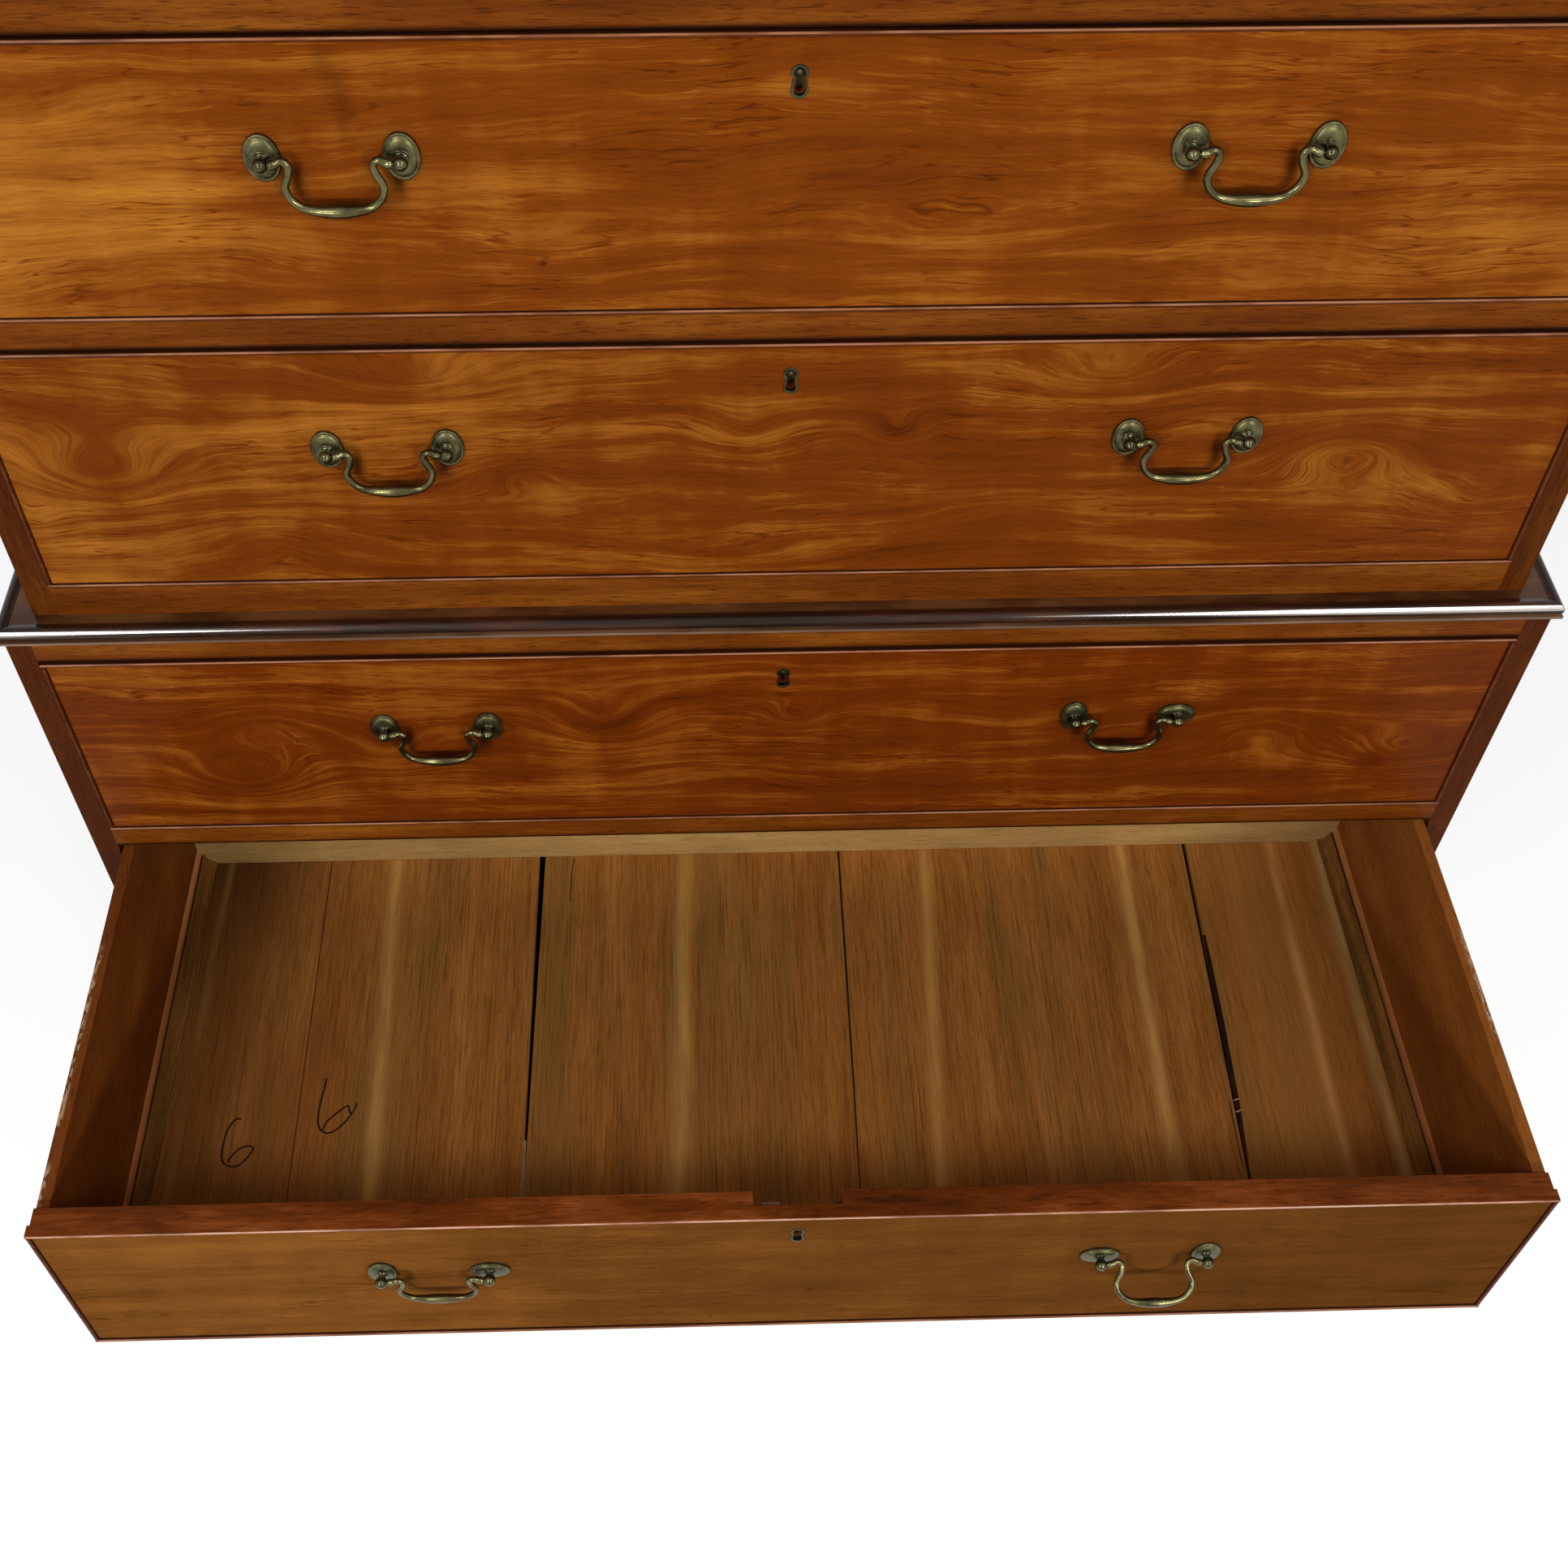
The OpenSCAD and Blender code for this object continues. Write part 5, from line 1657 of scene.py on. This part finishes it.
SIX_LEFT = ((0.44, 1.0), (0.28, 1.0), (0.12, 0.87), (0.03, 0.69), (0.0, 0.46), (0.0, 0.26),
            (0.06, 0.13), (0.18, 0.05), (0.38, 0.0), (0.59, 0.02), (0.78, 0.12), (0.92, 0.25),
            (1.0, 0.35), (0.94, 0.41), (0.76, 0.42), (0.56, 0.37), (0.38, 0.26), (0.27, 0.14),
            (0.26, 0.08))
SIX_RIGHT = ((0.1, 1.0), (0.07, 0.82), (0.02, 0.6), (0.0, 0.41), (0.0, 0.26), (0.04, 0.15),
             (0.16, 0.04), (0.32, 0.0), (0.45, 0.01), (0.63, 0.07), (0.81, 0.17), (1.0, 0.33),
             (0.94, 0.38), (0.9, 0.46), (0.84, 0.48), (0.66, 0.41), (0.45, 0.3), (0.28, 0.2),
             (0.18, 0.05))
SIX_TICK = ((1.0, 0.33), (1.1, 0.43), (1.15, 0.54))
LEFT_BOX = (-460.4, -435.4, -276.0, -232.0)
RIGHT_BOX = (-385.8, -358.7, -247.0, -195.0)
FLOOR_LINES = (
    Line("six_left", SIX_LEFT, 0.95, PENCIL, LEFT_BOX),
    Line("six_right", SIX_RIGHT, 0.95, PENCIL, RIGHT_BOX),
    Line("six_tick", SIX_TICK, 0.75, PENCIL, RIGHT_BOX),
    Line("filled_crack", ((-213.3, -258, 0.8), (-213.2, -300, 1.0), (-213.15, -393, 0.9)), 1.7, SPLIT),
    Line("wide_crack", ((385.2, -67, 0.6), (382.9, -150, 1.0), (379.9, -240, 0.9),
                        (378.8, -270, 0.5), (378.0, -292, 0.2)), 2.5, CRACK),
    Line("middle_crack", ((63.0, 35.0, 1.0), (62.3, -60.0, 1.0), (61.1, -180.0, 0.85),
                          (59.8, -290.0, 0.6), (59.0, -370.0, 0.35)), 0.9, CRACK),
    Line("side_crack", ((374.2, -236), (373.2, -265), (372.6, -292)), 0.45, CRACK),
    Line("short_split", ((377.0, -313), (376.4, -327)), 0.8, SPLIT),
    Line("nail_line_1", ((377.6, -236), (382.4, -234.5)), 0.6, NAIL, lift=0.6),
    Line("nail_line_2", ((377.0, -247), (381.6, -245.5)), 0.6, NAIL, lift=0.6),
    Line("hair_line", ((-182, 35), (-184, 12), (-184, -15)), 0.4, CRACK),
)


@dataclass(frozen=True)
class Scrap:
    """A small block: its low and high corners in mm and its wood."""

    name: str
    low: Row
    high: Row
    wood: Wood
    bevel: float = 0.3


CRACK_SIDES = ((-415.0, -392.0), (-222.0, -204.0), (50.0, 72.0), (364.0, 394.0))
SCRAPS = tuple(
    # Strips under the cracks, painted near-black at the back as shade
    Scrap(f"crack_strip_{k + 1}", (left, -393.9, 395.6), (right, 36.9, 396.75), CRACK_SHADE)
    for k, (left, right) in enumerate(CRACK_SIDES)) + (
    Scrap("lock_block", (-26.0, -405.0, 546.0), (-12.0, -397.5, 560.0), SCRAP, 0.8),
    Scrap("lock_chip", (25.0, -405.0, 548.0), (31.2, -398.0, 559.0), GREY_SCRAP, 0.8),
)


@dataclass
class OpenDrawerMarks:
    """What is in the open drawer: pencilled numbers, cracks, strips under them that are painted
    near-black at the back as shade, and lock scraps.
    """

    floor: float = 403.8
    flatness: float = 0.2
    line_steps: int = 5
    line_sides: int = 6
    body: str = f"drawer_{OPEN_DRAWER}"

    def draw(self, line: Line) -> None:
        """Draws a flat line on the floor.

        Args:
            line: what is drawn.
        """
        left, right, near, far = line.box
        rows = [(left + x * (right - left), near + y * (far - near), swell[0] if swell else 1.0)
                for x, y, *swell in line.rows]
        path = [(Vector((x, y, 0.0)), line.half_width * share)
                for x, y, share in smooth_rows(rows, self.line_steps)]
        level = Matrix.Translation((0.0, 0.0, self.floor + line.lift))
        place = level @ Matrix.Diagonal((1.0, 1.0, self.flatness, 1.0))
        maker = bmesh.new()
        swept(maker, path, self.line_sides, place, Vector((0.0, 0.0, 1.0)))
        finish_mesh(maker, line.name, line.finish.material(), self.body)

    def block(self, scrap: Scrap) -> None:
        """Makes a small block with eased edges.

        Args:
            scrap: what is made.
        """
        low, high = Vector(scrap.low), Vector(scrap.high)
        maker = bmesh.new()
        bmesh.ops.create_cube(maker, size=1.0)
        bmesh.ops.scale(maker, vec=high - low, verts=maker.verts)
        bmesh.ops.translate(maker, vec=(high + low) / 2, verts=maker.verts)
        bmesh.ops.bevel(maker, geom=list(maker.edges), offset=scrap.bevel, segments=2, profile=0.5,
                        material=-1, affect="EDGES")
        finish_mesh(maker, scrap.name, scrap.wood.material(), self.body)

    def build(self) -> None:
        """Makes the marks and the small blocks."""
        for line in FLOOR_LINES:
            self.draw(line)
        for scrap in SCRAPS:
            self.block(scrap)
        log.info("open drawer marked")


# Camera, light and floor


@dataclass(frozen=True)
class Lamp:
    """A soft box: where it hangs, the point that it faces and its width and height, in mm."""

    name: str
    place: Row
    aim: Row
    size: Pair
    watts: float

    def hang(self) -> None:
        """Adds the lamp to the scene."""
        data = bpy.data.lights.new(self.name, "AREA")
        data.shape = "RECTANGLE"
        data.size, data.size_y = self.size[0] * MM, self.size[1] * MM
        data.energy = self.watts
        start = Vector(self.place) * MM
        turn = (Vector(self.aim) * MM - start).to_track_quat("-Z", "Y").to_matrix().to_4x4()
        place_in_scene(self.name, data).matrix_world = Matrix.Translation(start) @ turn


LAMPS = (
    Lamp("low_left_lamp", (-1268.0, -2600.0, 1470.0), (0.0, 0.0, 900.0), (420.0, 240.0), 25.8),
    Lamp("low_right_lamp", (1195.0, -2600.0, 1470.0), (0.0, 0.0, 900.0), (420.0, 240.0), 24.8),
    Lamp("high_left_lamp", (-1244.0, -1800.0, 2600.0), (0.0, -100.0, 800.0), (827.0, 400.0), 18.0),
    Lamp("high_right_lamp", (1170.0, -1800.0, 2600.0), (0.0, -100.0, 800.0), (1196.0, 400.0), 16.0),
)


@dataclass
class Studio:
    """The photograph's camera, its lamps, a dim room and a plain pale floor.

    Lengths are in mm and turns in radians. The lens and its middle are in the photo's pixels.
    """

    eye: Row = (-58.61, -978.98, 1708.07)
    yaw: float = 0.03093
    pitch: float = 0.88978
    roll: float = 0.00437
    focal_pixels: float = 2193.217
    centre_pixels: Pair = (913.431, 1009.338)
    image_pixels: float = 1932.0
    sensor: float = 36.0
    clip_m: Pair = (0.05, 100.0)
    room: float = 0.27
    floor_size: float = 16000.0
    floor_glow: float = 0.72
    floor_shade: Colour = shade(0.5, 0.5, 0.5)

    def camera(self) -> None:
        """Puts the camera where the photograph was taken."""
        data = bpy.data.cameras.new("camera")
        image = self.image_pixels
        data.sensor_width = self.sensor
        data.lens = self.sensor * self.focal_pixels / image
        data.shift_x = (image / 2 - self.centre_pixels[0]) / image
        data.shift_y = (self.centre_pixels[1] - image / 2) / image
        data.clip_start, data.clip_end = self.clip_m
        level = math.cos(self.pitch)
        ahead = Vector((math.sin(self.yaw) * level, math.cos(self.yaw) * level,
                        -math.sin(self.pitch)))
        right = Vector((math.cos(self.yaw), -math.sin(self.yaw), 0.0))
        up = right.cross(ahead)
        across = right * math.cos(self.roll) + up * math.sin(self.roll)
        upward = up * math.cos(self.roll) - right * math.sin(self.roll)
        turn = Matrix((across, upward, -ahead)).transposed().to_4x4()
        camera = place_in_scene("camera", data)
        camera.matrix_world = Matrix.Translation(Vector(self.eye) * MM) @ turn
        bpy.context.scene.camera = camera

    def seen(self, tree: Tree) -> Socket:
        """1 for rays that meet the white background: camera, glossy and transmission rays."""
        path = tree.node("ShaderNodeLightPath").outputs
        seen = tree.math("MAXIMUM", path["Is Camera Ray"], path["Is Glossy Ray"])
        return tree.math("MAXIMUM", seen, path["Is Transmission Ray"])

    def world(self) -> None:
        """A dim room that looks white behind the chest."""
        world = bpy.data.worlds.new("room")
        bpy.context.scene.world = world
        world.use_nodes = True
        tree = Tree(world.node_tree)
        strength = tree.fused(self.seen(tree), 1.0 - self.room, self.room)
        shader = world.node_tree.nodes["Background"]
        shader.inputs["Color"].default_value = shade(1.0, 1.0, 1.0)
        tree.put(shader.inputs["Strength"], strength)

    def floor(self) -> None:
        """The pale floor, nearly white to the camera, with the chest's shadow."""
        maker = bmesh.new()
        bmesh.ops.create_grid(maker, x_segments=2, y_segments=2, size=self.floor_size / 2 * MM)
        mesh = bpy.data.meshes.new("floor")
        maker.to_mesh(mesh)
        maker.free()
        floor = place_in_scene("floor", mesh)
        material = bpy.data.materials.new("pale_floor")
        material.use_nodes = True
        tree = Tree(material.node_tree)
        inputs = material.node_tree.nodes["Principled BSDF"].inputs
        for name, value in (("Base Color", self.floor_shade), ("Roughness", 1.0),
                            ("Specular IOR Level", 0.0), ("Emission Color", shade(1.0, 1.0, 1.0)),
                            ("Emission Strength", tree.times(self.seen(tree), self.floor_glow))):
            tree.put(inputs[name], value)
        mesh.materials.append(material)

    def build(self) -> None:
        """Sets up the whole studio."""
        self.camera()
        for lamp in LAMPS:
            lamp.hang()
        self.world()
        self.floor()
        bpy.context.scene.view_settings.view_transform = "Standard"
        log.info("studio ready")


def main() -> None:
    """Builds everything, in order."""
    logging.basicConfig(level=logging.INFO, format="%(message)s")
    Studio().build()
    Case().build()
    for plan in FRONTS:
        Drawer(plan).build()
    for joint in frame["joints"]:
        kind, number, *side = joint["name"].split("_")
        if kind == "swing":
            Handle(int(number), side[0] if side else "", joint).build()
    OpenDrawerMarks().build()


if __name__ == "__main__":
    main()
